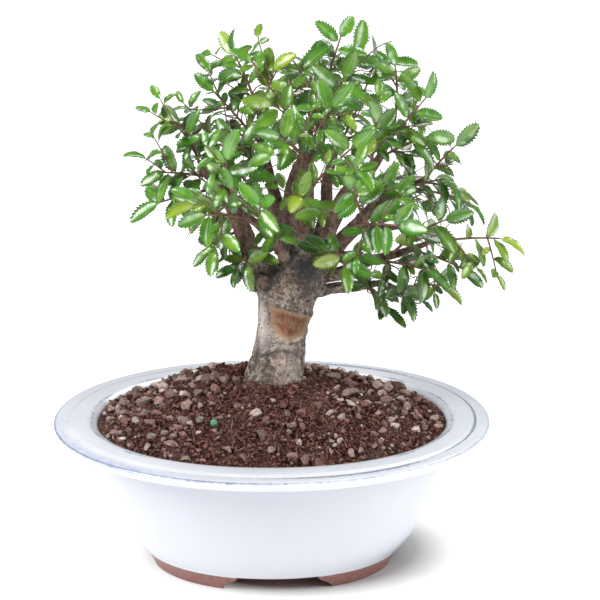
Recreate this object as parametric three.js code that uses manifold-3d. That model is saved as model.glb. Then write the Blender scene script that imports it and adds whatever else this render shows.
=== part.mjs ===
// Potted Chinese elm bonsai, in millimetres, +Z up.
// It is modelled round the pot's upright axis, with the pot on z = 0 and its front towards -Y.
// The last lines move the origin to the middle of the whole plant's box, on the floor.

import * as THREE from "three";
import { mergeVertices } from "three/addons/utils/BufferGeometryUtils.js";
import Module from "manifold-3d";

const wasm = await Module();
wasm.setup();

// Driving dimensions

const GAP = 0.3;

const POT_HEIGHT = 79;
const POT_HALF_LENGTH = 115;
const POT_HALF_WIDTH = 90;
const OVAL_POWER = 2.07;
const OVAL_SIDES = 32;
const BODY_WIDTH_RATIO = 0.745;
const UNDERSIDE_HEIGHT = 8;
const FLOOR_TOP = 15;
const FOOT_WIDTH = 13;
const FOOT_CUT_SHIFT = 3;
// Widths at the floor and above of the gaps between the feet
const FRONT_GAP = [56, 42];
const SIDE_GAP = [34, 24];
// The gap's side: height, and share of the way from its low width to its high one
const GAP_SIDE = [[-1, 0], [0.9, 0], [2.6, 0.25], [5.6, 0.8], [UNDERSIDE_HEIGHT + 0.4, 1]];
const DRAIN_RADIUS = 6.5;
const DRAIN_X = 34;

// Height and half length of the pot's body below the rim
const BODY_PROFILE = [[0, 65], [6.6, 68], [20, 78], [36, 85.2], [54, 91.5], [72, 97]];
// Height and distance inside the rim's outer edge
const RIM_PROFILE = [[72.6, 3.2], [74.2, 0.5], [77.6, 0], [78.2, 3.8], [POT_HEIGHT, 4.6]];

// Height, half length and half width of the space inside
const CAVITY_PROFILE = [
  [FLOOR_TOP, 62, 44],
  [30, 75, 54],
  [52, 84, 61],
  [74, 91, 66.5],
  [POT_HEIGHT, 94.5, 69.5],
];

const MESH_SIZE = 24;
const MESH_THICKNESS = 1.2;
const MESH_HOLE = 8;
const MESH_BAR = 2.4;
const MESH_HOLES_PER_SIDE = 2;

const SOIL_EDGE = 76;
const SOIL_RISE = 24;
// The soil's edge meets the cavity's wall between its two highest levels
const [BELOW_EDGE, ABOVE_EDGE] = CAVITY_PROFILE.slice(-2);
const EDGE_SHARE = (SOIL_EDGE - BELOW_EDGE[0]) / (ABOVE_EDGE[0] - BELOW_EDGE[0]);
const SOIL_HALF_LENGTH = mix(BELOW_EDGE[1], ABOVE_EDGE[1], EDGE_SHARE) - GAP;
const SOIL_HALF_WIDTH = mix(BELOW_EDGE[2], ABOVE_EDGE[2], EDGE_SHARE) - GAP;
const SOIL_RINGS = [1, 0.86, 0.68, 0.48, 0.27];
const GRAIN_COUNT = 18;
const GRAIN_RADIUS = [1.9, 3.3];
const GRAIN_REACH = [0.35, 0.92];
const GRAIN_PRESS = [[0.7, 1], [0.6, 0.9]];
const GRAIN_RISE = 0.15;
const PELLET_RADIUS = 1.9;
const PELLET_PLACE = [-29, -40];

const LEAF_THICKNESS = 0.72;
const LEAF_WIDTH_RATIO = 0.56;
const LEAF_FOLD = 0.3;
const LEAF_LENGTH = [16, 20];
const INNER_LEAF_SIZE = 0.88;
const TWIG_HALF_WIDTH = 0.8;
const TWIG_HALF_THICKNESS = 0.55;
const TWIG_STEPS = 4;
const LEAF_SPACING = 7.3;
const LATERAL_LEAVES = [4, 6];
const FIRST_LEAF_AT = 0.34;
const LAST_LEAF_AT = 0.9;
const LEAF_TRIES = 16;
const TWIG_TRIES = 20;
const FIRST_SEED = 100;
const SEEDS_PER_TRY = 1000;
const CROWN_CENTRE = [25, 0, 175];

// Where the blades face: outwards from the crown's middle, to the lit front and up
const LIGHT_OUTWARD = 0.9;
const LIGHT_FRONT = 0.5;
const LIGHT_UP = 0.45;
// How far a blade's facing strays along each axis
const FACING_SPREAD = [0.5, 0.5, 0.3];
// How far a leaf turns out of its facing, how far it hangs, and how much that varies
const LEAF_TURN = 0.55;
const LEAF_DROOP = 0.15;
const DROOP_SPREAD = 0.35;
// The angle between a leaf and its twig, in radians, and the end leaf's stray to either side
const LEAF_SPREAD = [0.85, 1.2];
const END_LEAF_STRAY = 0.5;
const LEAF_SHIFT = 0.04;
// A twig's bend as a share of its length, and how much of that always goes upwards
const TWIG_SWAY = 0.16;
const TWIG_RISE = 0.3;
// How much further from its tip's place a twig may end with each new try
const TIP_STRAY = 1.5;

// The trunk's level sections: height, middle x, middle y, half width in x, half width in y
const TRUNK_SECTIONS = [
  [52, 0, 0, 7, 7],
  [70, 0, 0, 13, 12],
  [88, 0.3, 0, 18.5, 16.5],
  [96, 0.5, 0, 16.8, 15],
  [106, 2, 0, 14.9, 13.5],
  [115, 3.6, 0, 13.8, 12.9],
  [125, 5.1, 0, 13.2, 12.6],
  [134, 7, 0, 13.7, 12.6],
  [142, 8.6, 0, 15, 12.8],
  [150, 10, 0, 16.8, 13],
  [157, 12.5, 0, 16, 12],
  [164, 16.5, 0, 13.5, 10.5],
  [171, 20, 0, 9.5, 8],
];
const TRUNK_SIDES = 12;
const BARK_WAVE = 0.045;

// The scar of an old pruning cut, as height and distance across the trunk's front, sunk into the bark
const SCAR_OUTLINE = [
  [142.5, -10.7], [140.2, 0], [135.7, 10.8], [129, 10.5],
  [125, 4.4], [123.3, -2.4], [128.2, -7.9], [136.5, -9.1],
];
const SCAR_DEPTH = 1.3;
const SCAR_REACH = 24;
const SCAR_TURN = THREE.MathUtils.degToRad(14);
const SCAR_MIDDLE_X = 7.5;

// Each limb's path, its radius at both ends and the tips of the leafy twigs that it bears.
// The twigs leave the limb in their order here, from twigsFrom of its length to its end.
const LIMBS = [
  {
    name: "left",
    path: [[0, 0, 150], [-10, -3, 166], [-14, -6, 181], [-21, -8, 198], [-28, -10, 209], [-35, -12, 215]],
    radius: [6.5, 2],
    twigsFrom: 0.3,
    tips: [
      [-10, -24, 172], [-31, -12, 174], [-37, -35, 203], [-56, -20, 200], [-54, -14, 217], [-45, -5, 238],
    ],
  },
  {
    name: "front_left",
    path: [[11, -4, 163], [2, -22, 180], [-7, -36, 194], [-17, -46, 204]],
    radius: [3.6, 1.4],
    twigsFrom: 0.55,
    tips: [[-4, -68, 212], [-28, -62, 205], [-18, -55, 230]],
  },
  {
    name: "upright",
    path: [[14, 0, 160], [6, 5, 183], [2, 6, 197], [-1, 8, 209], [-4, 8, 226], [-6, 6, 242]],
    radius: [4.5, 1.5],
    twigsFrom: 0.5,
    tips: [[-20, -24, 234], [-34, 5, 226], [-29, 8, 251], [-19, 10, 269], [-3, 0, 266]],
  },
  {
    name: "leader",
    path: [[19, 0, 160], [11, 0, 188], [14, -2, 211], [24, -4, 227], [26, -3, 241], [28, -1, 258]],
    radius: [6, 1.5],
    twigsFrom: 0.55,
    tips: [[1, -30, 252], [31, -32, 259], [10, -8, 271], [35, -2, 280]],
  },
  {
    name: "back_leader",
    path: [[22, 1, 162], [28, 12, 185], [29, 18, 202], [33, 22, 217], [36, 24, 237]],
    radius: [4.4, 1.4],
    twigsFrom: 0.7,
    tips: [[53, 30, 262], [19, 38, 258], [44, 20, 268]],
  },
  {
    name: "front_up",
    path: [[17, -4, 164], [17, -22, 190], [19, -34, 213], [20, -38, 234]],
    radius: [3.6, 1.3],
    twigsFrom: 0.45,
    tips: [[14, -62, 214], [40, -60, 238], [5, -58, 242], [30, -46, 254]],
  },
  {
    name: "right_up",
    path: [[24, 0, 164], [36, -6, 198], [47, -10, 210], [55, -12, 222], [62, -10, 238]],
    radius: [4.4, 1.4],
    twigsFrom: 0.6,
    tips: [[52, -40, 246], [78, -10, 231], [76, -14, 252], [62, -5, 266]],
  },
  {
    name: "right_mid",
    path: [[24, 1, 160], [42, 4, 179], [53, 8, 191], [66, 10, 198], [79, 8, 205]],
    radius: [4.4, 1.4],
    twigsFrom: 0.68,
    tips: [[88, -8, 209], [102, 8, 192], [94, 6, 223]],
  },
  {
    name: "right_low",
    path: [[22, 0, 154], [38, -6, 160], [52, -9, 167], [66, -10, 171], [81, -8, 176]],
    radius: [4, 1.4],
    twigsFrom: 0.5,
    tips: [[78, -31, 168], [86, -38, 196], [98, -16, 163], [117, -5, 177]],
  },
  {
    name: "lowest",
    path: [[18, 0, 146], [36, 2, 149], [44, 4, 148], [56, 2, 151], [67, 0, 148]],
    radius: [3.4, 1.3],
    twigsFrom: 0.55,
    tips: [[53, -17, 153], [70, -9, 146], [88, 4, 149]],
  },
  {
    name: "front_right",
    path: [[22, -4, 160], [32, -24, 179], [42, -38, 195], [51, -50, 205]],
    radius: [3.6, 1.3],
    twigsFrom: 0.4,
    tips: [[36, -52, 176], [61, -74, 203], [40, -70, 221], [67, -56, 222]],
  },
  {
    name: "right_back",
    path: [[26, 2, 162], [36, 14, 172], [46, 24, 174], [60, 33, 172], [74, 38, 172]],
    radius: [3.8, 1.3],
    twigsFrom: 0.65,
    tips: [[80, 57, 184], [93, 45, 162]],
  },
  {
    name: "back_left",
    path: [[14, 3, 160], [5, 24, 174], [-3, 40, 184], [-12, 53, 191]],
    radius: [3.6, 1.3],
    twigsFrom: 0.7,
    tips: [[-27, 64, 182], [-32, 50, 211]],
  },
  {
    name: "back_right",
    path: [[23, 4, 160], [34, 26, 178], [45, 44, 188], [55, 57, 196]],
    radius: [3.6, 1.3],
    twigsFrom: 0.7,
    tips: [[80, 68, 188], [56, 68, 219]],
  },
  {
    name: "back_mid",
    path: [[19, 4, 162], [20, 32, 186], [20, 45, 208], [21, 47, 226]],
    radius: [3.6, 1.3],
    twigsFrom: 0.6,
    tips: [[-8, 66, 218], [38, 66, 240], [13, 58, 251]],
  },
];
const LIMB_STEPS = 5;
const LIMB_SIDES = 5;

// Short pieces of wood without leaves: a dry twig, the stub of a cut branch and three roots at the soil
const BARE_WOOD = [
  { path: [[1, 0, 144], [-12, -3, 152], [-16, -4, 164], [-22, -8, 177]], radius: [1.9, 0.9] },
  { path: [[2, -6, 155], [-4, -15, 158]], radius: [3.4, 2.7] },
  { path: [[-4, -5, 101], [-14, -9, 96], [-20, -12, 86]], radius: [6, 4] },
  { path: [[6, 2, 101], [17, -8, 95], [22, -12, 84]], radius: [6, 4] },
  { path: [[4, 4, 101], [6, 15, 95], [8, 20, 84]], radius: [6, 4] },
];

// Half outlines of a toothed blade: place along it and reach to the side, both from 0 to 1
const BLADE_LEFT = [[0.18, 0.62], [0.4, 0.98], [0.47, 0.78], [0.74, 0.78]];
const BLADE_RIGHT = [[0.22, 0.7], [0.5, 1], [0.57, 0.78], [0.82, 0.6]];

// Sprays of this year's yellow-green leaves
const YOUNG_SPRAYS = [
  "spray_right_low_4", "spray_front_up_1", "spray_left_3", "spray_upright_5", "spray_back_mid_2",
];

const COLOURS = {
  pot: [0xdfe6f0, 0.22],
  mesh: [0x2b2b2b, 0.7],
  soil: [0x6b4a3c, 0.95],
  pellet: [0x3f9a6a, 0.6],
  wood: [0xa39a8c, 0.85],
  leaf: [0x5a9a2c, 0.5],
  youngLeaf: [0xa6bc3c, 0.5],
};

// Helpers

// A repeatable source of numbers from 0 to 1.
function seededNumbers(seed) {
  const modulus = 4294967296;
  let state = (seed * 7654321 + 12345) % modulus;
  const next = () => {
    state = (state * 1664525 + 1013904223) % modulus;
    return state / modulus;
  };
  for (let i = 0; i < 4; i++) next();
  return next;
}

function mix(a, b, t) {
  return a + (b - a) * t;
}

function vector([x, y, z]) {
  return new THREE.Vector3(x, y, z);
}

// A closed mesh over rings of points that all turn anticlockwise as seen from the last ring.
function skin(rings) {
  const sides = rings[0].length;
  const middle = (ring) => ring.reduce((sum, p) => sum.add(p), new THREE.Vector3()).divideScalar(sides);
  const points = [...rings.flat(), middle(rings[0]), middle(rings.at(-1))];
  const first = points.length - 2;
  const last = points.length - 1;
  const top = (rings.length - 1) * sides;
  const faces = [];
  for (let j = 0; j < sides; j++) {
    const k = (j + 1) % sides;
    for (let i = 0; i < rings.length - 1; i++) {
      const low = i * sides;
      const high = low + sides;
      faces.push(low + j, low + k, high + k, low + j, high + k, high + j);
    }
    faces.push(first, k, j, last, top + j, top + k);
  }
  const geometry = new THREE.BufferGeometry().setFromPoints(points);
  geometry.setIndex(faces);
  return geometry;
}

function solid(geometry) {
  const bare = geometry.clone();
  bare.deleteAttribute("normal");
  bare.deleteAttribute("uv");
  const merged = mergeVertices(bare);
  const vertProperties = new Float32Array(merged.attributes.position.array);
  const triVerts = new Uint32Array(merged.index.array);
  return new wasm.Manifold(new wasm.Mesh({ numProp: 3, vertProperties, triVerts }));
}

function geometryOf(manifold) {
  const mesh = manifold.getMesh();
  const geometry = new THREE.BufferGeometry();
  geometry.setAttribute("position", new THREE.BufferAttribute(mesh.vertProperties, 3));
  geometry.setIndex(new THREE.BufferAttribute(mesh.triVerts, 1));
  geometry.computeVertexNormals();
  return geometry;
}

function material([color, roughness]) {
  return new THREE.MeshStandardMaterial({ color, roughness, metalness: 0 });
}

function node(name, manifold, look) {
  const mesh = new THREE.Mesh(geometryOf(manifold), material(look));
  mesh.name = name;
  return mesh;
}

function joined(parts) {
  return parts.reduce((whole, part) => whole.add(part));
}

function largestPiece(manifold) {
  return manifold.decompose().reduce((best, piece) => (piece.volume() > best.volume() ? piece : best));
}

function boxesMeet(a, b) {
  return [0, 1, 2].every((axis) => a.min[axis] < b.max[axis] && b.min[axis] < a.max[axis]);
}

// True if a solid cuts none of the others.
function isClear(candidate, others) {
  const box = candidate.boundingBox();
  return others.every(({ box: otherBox, body }) => (
    !boxesMeet(box, otherBox) || candidate.intersect(body).isEmpty()
  ));
}

function ovalRing(halfLength, halfWidth, z) {
  const ring = [];
  for (let i = 0; i < OVAL_SIDES; i++) {
    const angle = (i / OVAL_SIDES) * 2 * Math.PI;
    const x = halfLength * Math.sign(Math.cos(angle)) * Math.abs(Math.cos(angle)) ** (2 / OVAL_POWER);
    const y = halfWidth * Math.sign(Math.sin(angle)) * Math.abs(Math.sin(angle)) ** (2 / OVAL_POWER);
    ring.push(new THREE.Vector3(x, y, typeof z === "function" ? z(x, y) : z));
  }
  return ring;
}

function box(sizeX, sizeY, sizeZ, x, y, z) {
  return new THREE.BoxGeometry(sizeX, sizeY, sizeZ).translate(x, y, z);
}

// A round limb of shrinking radius along a smooth path, with its section carried along unturned.
function limbSkin(path, radius, sides, steps, grow = 0) {
  const curve = new THREE.CatmullRomCurve3(path.map(vector), false, "catmullrom", 0.5);
  const across = new THREE.Vector3(0.31, 0.9, 0.3);
  const rings = [];
  for (let i = 0; i <= steps; i++) {
    const along = i / steps;
    const direction = curve.getTangent(along);
    const centre = curve.getPoint(along);
    if (i === steps) centre.addScaledVector(direction, grow);
    across.addScaledVector(direction, -across.dot(direction)).normalize();
    const third = new THREE.Vector3().crossVectors(direction, across);
    const size = mix(radius[0], radius[1], along) + grow;
    const ring = [];
    for (let j = 0; j < sides; j++) {
      const angle = (j / sides) * 2 * Math.PI;
      const point = centre.clone().addScaledVector(across, size * Math.cos(angle));
      ring.push(point.addScaledVector(third, size * Math.sin(angle)));
    }
    rings.push(ring);
  }
  return skin(rings);
}

// Pot

// The gap between two feet, wide at the floor and drawn in above, cut right through the pot along Y.
function footGap([widthAtFloor, widthAbove]) {
  const side = GAP_SIDE.map(([z, share]) => [mix(widthAtFloor, widthAbove, share) / 2, z]);
  const points = [...side, ...side.toReversed().map(([x, z]) => [-x, z])];
  const shape = new THREE.Shape(points.map(([x, z]) => new THREE.Vector2(x, z)));
  const length = 2 * POT_HALF_LENGTH;
  const gap = new THREE.ExtrudeGeometry(shape, { depth: length, bevelEnabled: false, steps: 1 });
  return gap.translate(0, 0, -length / 2).rotateX(Math.PI / 2);
}

function makePot() {
  const body = BODY_PROFILE.map(([z, a]) => ovalRing(a, a * BODY_WIDTH_RATIO, z));
  const rim = RIM_PROFILE.map(([z, inset]) => ovalRing(POT_HALF_LENGTH - inset, POT_HALF_WIDTH - inset, z));
  const cavity = CAVITY_PROFILE.map(([z, a, b]) => ovalRing(a, b, z));
  const [topZ, topLength, topWidth] = CAVITY_PROFILE.at(-1);
  const mouth = ovalRing(topLength + 0.7, topWidth + 0.7, topZ + 1);
  const recessLength = BODY_PROFILE[0][1] - FOOT_WIDTH;
  const recessWidth = BODY_PROFILE[0][1] * BODY_WIDTH_RATIO - FOOT_WIDTH;
  const recess = skin([
    ovalRing(recessLength, recessWidth, -1),
    ovalRing(recessLength, recessWidth, UNDERSIDE_HEIGHT),
  ]);
  let pot = solid(skin([...body, ...rim])).subtract(solid(skin([...cavity, mouth]))).subtract(solid(recess));
  pot = pot.subtract(solid(footGap(FRONT_GAP).translate(FOOT_CUT_SHIFT, 0, 0)));
  pot = pot.subtract(solid(footGap(SIDE_GAP).rotateZ(Math.PI / 2)));
  for (const x of [-DRAIN_X, DRAIN_X]) {
    const drain = new THREE.CylinderGeometry(DRAIN_RADIUS, DRAIN_RADIUS, FLOOR_TOP + 4, 12);
    pot = pot.subtract(solid(drain.rotateX(Math.PI / 2).translate(x, 0, FLOOR_TOP / 2 + 2)));
  }
  return pot;
}

function makeDrainMesh(x) {
  const z = FLOOR_TOP + GAP + MESH_THICKNESS / 2;
  const pitch = MESH_HOLE + MESH_BAR;
  const first = -(pitch * (MESH_HOLES_PER_SIDE - 1)) / 2;
  let plate = solid(box(MESH_SIZE, MESH_SIZE, MESH_THICKNESS, x, 0, z));
  for (let i = 0; i < MESH_HOLES_PER_SIDE ** 2; i++) {
    const u = first + pitch * (i % MESH_HOLES_PER_SIDE);
    const v = first + pitch * Math.floor(i / MESH_HOLES_PER_SIDE);
    plate = plate.subtract(solid(box(MESH_HOLE, MESH_HOLE, 3 * MESH_THICKNESS, x + u, v, z)));
  }
  return plate;
}

// Soil

// The mound is highest at the trunk, with a second low swell to its back left.
function soilHeight(x, y) {
  const out = (x / SOIL_HALF_LENGTH) ** 2 + (y / SOIL_HALF_WIDTH) ** 2;
  const swell = 2.5 * Math.exp(-((x + 35) ** 2 + (y - 20) ** 2) / 625);
  const lumps = 0.7 * Math.sin(x * 0.31 + 1) * Math.sin(y * 0.37 + 2);
  return SOIL_EDGE + SOIL_RISE * (1 - Math.min(1, out)) + swell + lumps * Math.max(0, 1 - out);
}

function makeSoil(trunkHole, pellet) {
  const wall = CAVITY_PROFILE.slice(0, -1).map(([z, a, b]) => (
    ovalRing(a - GAP, b - GAP, z === FLOOR_TOP ? z + GAP : z)
  ));
  const surface = SOIL_RINGS.map((reach) => (
    ovalRing(SOIL_HALF_LENGTH * reach, SOIL_HALF_WIDTH * reach, soilHeight)
  ));
  let soil = solid(skin([...wall, ...surface]));
  const draw = seededNumbers(5);
  for (let i = 0; i < GRAIN_COUNT; i++) {
    const angle = 2 * Math.PI * draw();
    const reach = mix(...GRAIN_REACH, Math.sqrt(draw()));
    const x = SOIL_HALF_LENGTH * reach * Math.cos(angle);
    const y = SOIL_HALF_WIDTH * reach * Math.sin(angle);
    const radius = mix(...GRAIN_RADIUS, draw());
    const [pressY, pressZ] = GRAIN_PRESS.map((range) => mix(...range, draw()));
    const grain = new THREE.OctahedronGeometry(radius).scale(1, pressY, pressZ);
    grain.rotateX(3 * draw()).rotateZ(6 * draw()).translate(x, y, soilHeight(x, y) + radius * GRAIN_RISE);
    soil = soil.add(solid(grain));
  }
  for (const x of [-DRAIN_X, DRAIN_X]) {
    const size = MESH_SIZE + 2 * GAP;
    const pocket = box(size, size, MESH_THICKNESS + 2 * GAP, x, 0, FLOOR_TOP + GAP + MESH_THICKNESS / 2);
    soil = soil.subtract(solid(pocket));
  }
  return largestPiece(soil.subtract(trunkHole).subtract(pellet));
}

function makePellet(grow) {
  const [x, y] = PELLET_PLACE;
  const ball = new THREE.IcosahedronGeometry(PELLET_RADIUS + grow);
  return solid(ball.translate(x, y, soilHeight(x, y) + PELLET_RADIUS * 0.5));
}

// Wood

function makeTrunk(grow) {
  const rings = TRUNK_SECTIONS.map(([z, middleX, middleY, halfX, halfY]) => {
    const ring = [];
    for (let i = 0; i < TRUNK_SIDES; i++) {
      const angle = (i / TRUNK_SIDES) * 2 * Math.PI;
      const wave = 1 + BARK_WAVE * Math.sin(3 * angle + z * 0.06) * Math.cos(z * 0.11);
      const x = middleX + (halfX * wave + grow) * Math.cos(angle);
      const y = middleY + (halfY * wave + grow) * Math.sin(angle);
      ring.push(new THREE.Vector3(x, y, z));
    }
    return ring;
  });
  rings[0].forEach((point) => point.setZ(point.z - grow));
  rings.at(-1).forEach((point) => point.setZ(point.z + grow));
  return solid(skin(rings));
}

// The scar's floor follows the trunk's own curve, so it is cut by a block less a thinner trunk.
function cutScar(wood) {
  const shape = new THREE.Shape(SCAR_OUTLINE.map(([z, across]) => new THREE.Vector2(across, z)));
  const block = new THREE.ExtrudeGeometry(shape, { depth: SCAR_REACH, bevelEnabled: false });
  block.rotateX(Math.PI / 2).rotateZ(SCAR_TURN).translate(SCAR_MIDDLE_X, 0, 0);
  return wood.subtract(solid(block).subtract(makeTrunk(-SCAR_DEPTH)));
}

function makeWood(grow) {
  const limb = ({ path, radius }, steps) => solid(limbSkin(path, radius, LIMB_SIDES, steps, grow));
  const limbs = LIMBS.map((shape) => limb(shape, LIMB_STEPS));
  const bare = BARE_WOOD.map((shape) => limb(shape, shape.path.length));
  return joined([makeTrunk(grow), ...limbs, ...bare]);
}

// Sprays

// The middle line of a twig is a quadratic curve: it leaves the limb, bows upwards and ends at its tip.
function pointOnTwig([start, middle, tip], t) {
  const a = start.clone().lerp(middle, t);
  const b = middle.clone().lerp(tip, t);
  return a.lerp(b, t);
}

function twigWay(path, t) {
  return pointOnTwig(path, t + 0.02).sub(pointOnTwig(path, t - 0.02)).normalize();
}

// The direction that a twig's broad side and the blades on it turn to.
function lightWay(point) {
  const outward = point.clone().sub(vector(CROWN_CENTRE)).normalize();
  return new THREE.Vector3(LIGHT_OUTWARD * outward.x, LIGHT_OUTWARD * outward.y - LIGHT_FRONT, LIGHT_UP);
}

// The twig's frame at a place: its way, the normal of its broad side, and its left.
function twigFrame(path, t) {
  const way = twigWay(path, t);
  const point = pointOnTwig(path, t);
  const up = lightWay(point);
  up.addScaledVector(way, -up.dot(way)).normalize();
  return { point, way, up, left: new THREE.Vector3().crossVectors(up, way) };
}

function drawTwig(draw, start, tip, stray) {
  const end = tip.clone();
  end.x += (draw() - 0.5) * stray;
  end.y += (draw() - 0.5) * stray;
  end.z += (draw() - 0.5) * stray;
  const sway = TWIG_SWAY * start.distanceTo(end);
  const middle = start.clone().lerp(end, 0.5);
  middle.x += (draw() - 0.5) * sway;
  middle.y += (draw() - 0.5) * sway;
  middle.z += ((TWIG_RISE + draw()) * sway) / 2;
  return [start, middle, end];
}

// One try at a leaf at a place on a twig, to its left (side 1), its right (-1) or from its end (0).
function drawLeaf(draw, path, place, side) {
  const at = side === 0 ? 1 : place + (draw() - 0.5) * LEAF_SHIFT;
  const { point, way } = twigFrame(path, at);
  const facing = lightWay(point);
  facing.x += FACING_SPREAD[0] * (draw() - 0.5);
  facing.y += FACING_SPREAD[1] * (draw() - 0.5);
  facing.z += FACING_SPREAD[2] * (draw() - 0.5);
  facing.normalize();
  const sideways = new THREE.Vector3().crossVectors(facing, way).normalize();
  const spread = side === 0 ? END_LEAF_STRAY * (draw() - 0.5) : side * mix(...LEAF_SPREAD, draw());
  const ahead = way.clone().multiplyScalar(Math.cos(spread)).addScaledVector(sideways, Math.sin(spread));
  ahead.addScaledVector(facing, -LEAF_TURN * ahead.dot(facing));
  ahead.z += DROOP_SPREAD * (draw() - 0.5) - LEAF_DROOP;
  ahead.normalize();
  const up = facing.addScaledVector(ahead, -facing.dot(ahead)).normalize();
  const length = mix(...LEAF_LENGTH, draw()) * (place < 0.5 ? INNER_LEAF_SIZE : 1);
  return { at, side, ahead, up, length };
}

// A sheet being built up: points with the half thickness to either side of them, and its top faces.
class Sheet {
  points = [];
  faces = [];

  add(point, up, halfThickness) {
    this.points.push({ point, lift: up.clone().multiplyScalar(halfThickness) });
    return this.points.length - 1;
  }

  // The closed solid between the top faces and the same faces below, walled along the outline.
  close(outline) {
    const count = this.points.length;
    const above = this.points.map(({ point, lift }) => point.clone().add(lift));
    const below = this.points.map(({ point, lift }) => point.clone().sub(lift));
    const faces = this.faces.flatMap(([a, b, c]) => [a, b, c, count + a, count + c, count + b]);
    outline.forEach((a, i) => {
      const b = outline[(i + 1) % outline.length];
      faces.push(a, count + a, count + b, a, count + b, b);
    });
    const geometry = new THREE.BufferGeometry().setFromPoints([...above, ...below]);
    geometry.setIndex(faces);
    return solid(geometry);
  }
}

// Adds a toothed blade, folded along its midrib, from the two base points to its tip and back.
function addBlade(sheet, base, { ahead, up, length }, [first, second], room = 0) {
  const across = new THREE.Vector3().crossVectors(up, ahead);
  const halfWidth = (length * LEAF_WIDTH_RATIO) / 2;
  const corner = ([along, reach], side) => {
    const point = base.clone().addScaledVector(ahead, along * (length + room));
    point.addScaledVector(across, side * reach * (halfWidth + room));
    point.addScaledVector(up, reach * halfWidth * LEAF_FOLD);
    return sheet.add(point, up, LEAF_THICKNESS / 2 + room);
  };
  const right = BLADE_RIGHT.map((place) => corner(place, -1));
  const tip = corner([1, 0], 0);
  const left = BLADE_LEFT.map((place) => corner(place, 1));
  const fan = (ring) => {
    for (let i = 1; i < ring.length - 1; i++) sheet.faces.push([ring[0], ring[i], ring[i + 1]]);
  };
  fan([...right, tip, first]);
  fan([left[0], second, first, tip, ...left.toReversed().slice(0, -1)]);
  return [...right, tip, ...left.toReversed()];
}

// The two points where a leaf leaves the twig, in the outline's order.
function leafBase(path, { at, side }) {
  const half = TWIG_HALF_WIDTH;
  if (side === 0) {
    const { point, left, up } = twigFrame(path, 1);
    const ends = [-half, half].map((reach) => point.clone().addScaledVector(left, reach));
    return { middle: point, up, ends };
  }
  const step = half / path[0].distanceTo(path[2]);
  const ends = [at + side * step, at - side * step].map((t) => {
    const { point, left } = twigFrame(path, t);
    return point.addScaledVector(left, side * half);
  });
  const { up } = twigFrame(path, at);
  return { middle: ends[0].clone().lerp(ends[1], 0.5), up, ends };
}

// One blade by itself, or with room round it.
function bladeAlone(path, leaf, room = 0) {
  const sheet = new Sheet();
  const { middle, up, ends } = leafBase(path, leaf);
  const bases = ends.map((point) => sheet.add(point, up, TWIG_HALF_THICKNESS + room));
  const edge = addBlade(sheet, middle, leaf, bases, room);
  return sheet.close([bases[0], ...edge, bases[1]]);
}

// A bare twig, or its clearance, from a place on it to its end.
function twigAlone(path, from, grow) {
  const sheet = new Sheet();
  const rows = [...Array(TWIG_STEPS + 1).keys()].map((i) => {
    const { point, left, up } = twigFrame(path, mix(from, 1, i / TWIG_STEPS));
    return [-1, 1].map((side) => {
      const edge = point.clone().addScaledVector(left, side * (TWIG_HALF_WIDTH + grow));
      return sheet.add(edge, up, TWIG_HALF_THICKNESS + grow);
    });
  });
  rows.slice(1).forEach(([right, left], i) => {
    const [lastRight, lastLeft] = rows[i];
    sheet.faces.push([lastRight, right, left], [lastRight, left, lastLeft]);
  });
  return sheet.close([...rows.map(([right]) => right), ...rows.map(([, left]) => left).toReversed()]);
}

// The twig and its leaves in one closed skin. Each blade grows out of a short stretch of the twig's edge.
function sprayBody(path, from, leaves) {
  const sheet = new Sheet();
  const edges = { right: [], left: [] };
  const addEdge = (t, side) => {
    const { point, left, up } = twigFrame(path, t);
    const index = sheet.add(point.addScaledVector(left, side * TWIG_HALF_WIDTH), up, TWIG_HALF_THICKNESS);
    edges[side < 0 ? "right" : "left"].push({ t, index });
    return index;
  };
  const step = TWIG_HALF_WIDTH / path[0].distanceTo(path[2]);
  const startRight = addEdge(from, -1);
  const startLeft = addEdge(from, 1);
  const blade = (leaf, bases) => addBlade(sheet, leafBase(path, leaf).middle, leaf, bases);
  const rightOutline = [startRight];
  const leftOutline = [startLeft];
  for (const leaf of leaves) {
    if (leaf.side === -1) {
      const bases = [leaf.at - step, leaf.at + step].map((t) => addEdge(t, -1));
      rightOutline.push(bases[0], ...blade(leaf, bases), bases[1]);
    } else if (leaf.side === 1) {
      const bases = [leaf.at - step, leaf.at + step].map((t) => addEdge(t, 1)).toReversed();
      leftOutline.push(bases[1], ...blade(leaf, bases).toReversed(), bases[0]);
    }
  }
  const ends = [addEdge(1, -1), addEdge(1, 1)];
  const last = leaves.find((leaf) => leaf.side === 0);
  const tipOutline = last ? blade(last, ends) : [];
  const { right, left } = edges;
  for (let i = 0, j = 0; i < right.length - 1 || j < left.length - 1;) {
    const rightNext = i < right.length - 1 && (j === left.length - 1 || right[i + 1].t <= left[j + 1].t);
    const third = rightNext ? right[i + 1] : left[j + 1];
    sheet.faces.push([right[i].index, third.index, left[j].index]);
    if (rightNext) i += 1;
    else j += 1;
  }
  return sheet.close([...rightOutline, ends[0], ...tipOutline, ends[1], ...leftOutline.toReversed()]);
}

// The twig starts on its limb's bark: at the first place from which all of it is clear of the wood.
function twigStart(path, wood) {
  let from = 0;
  while (from < FIRST_LEAF_AT - 0.1 && !isClear(twigAlone(path, from, GAP), [wood])) from += 0.008;
  return from;
}

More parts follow.
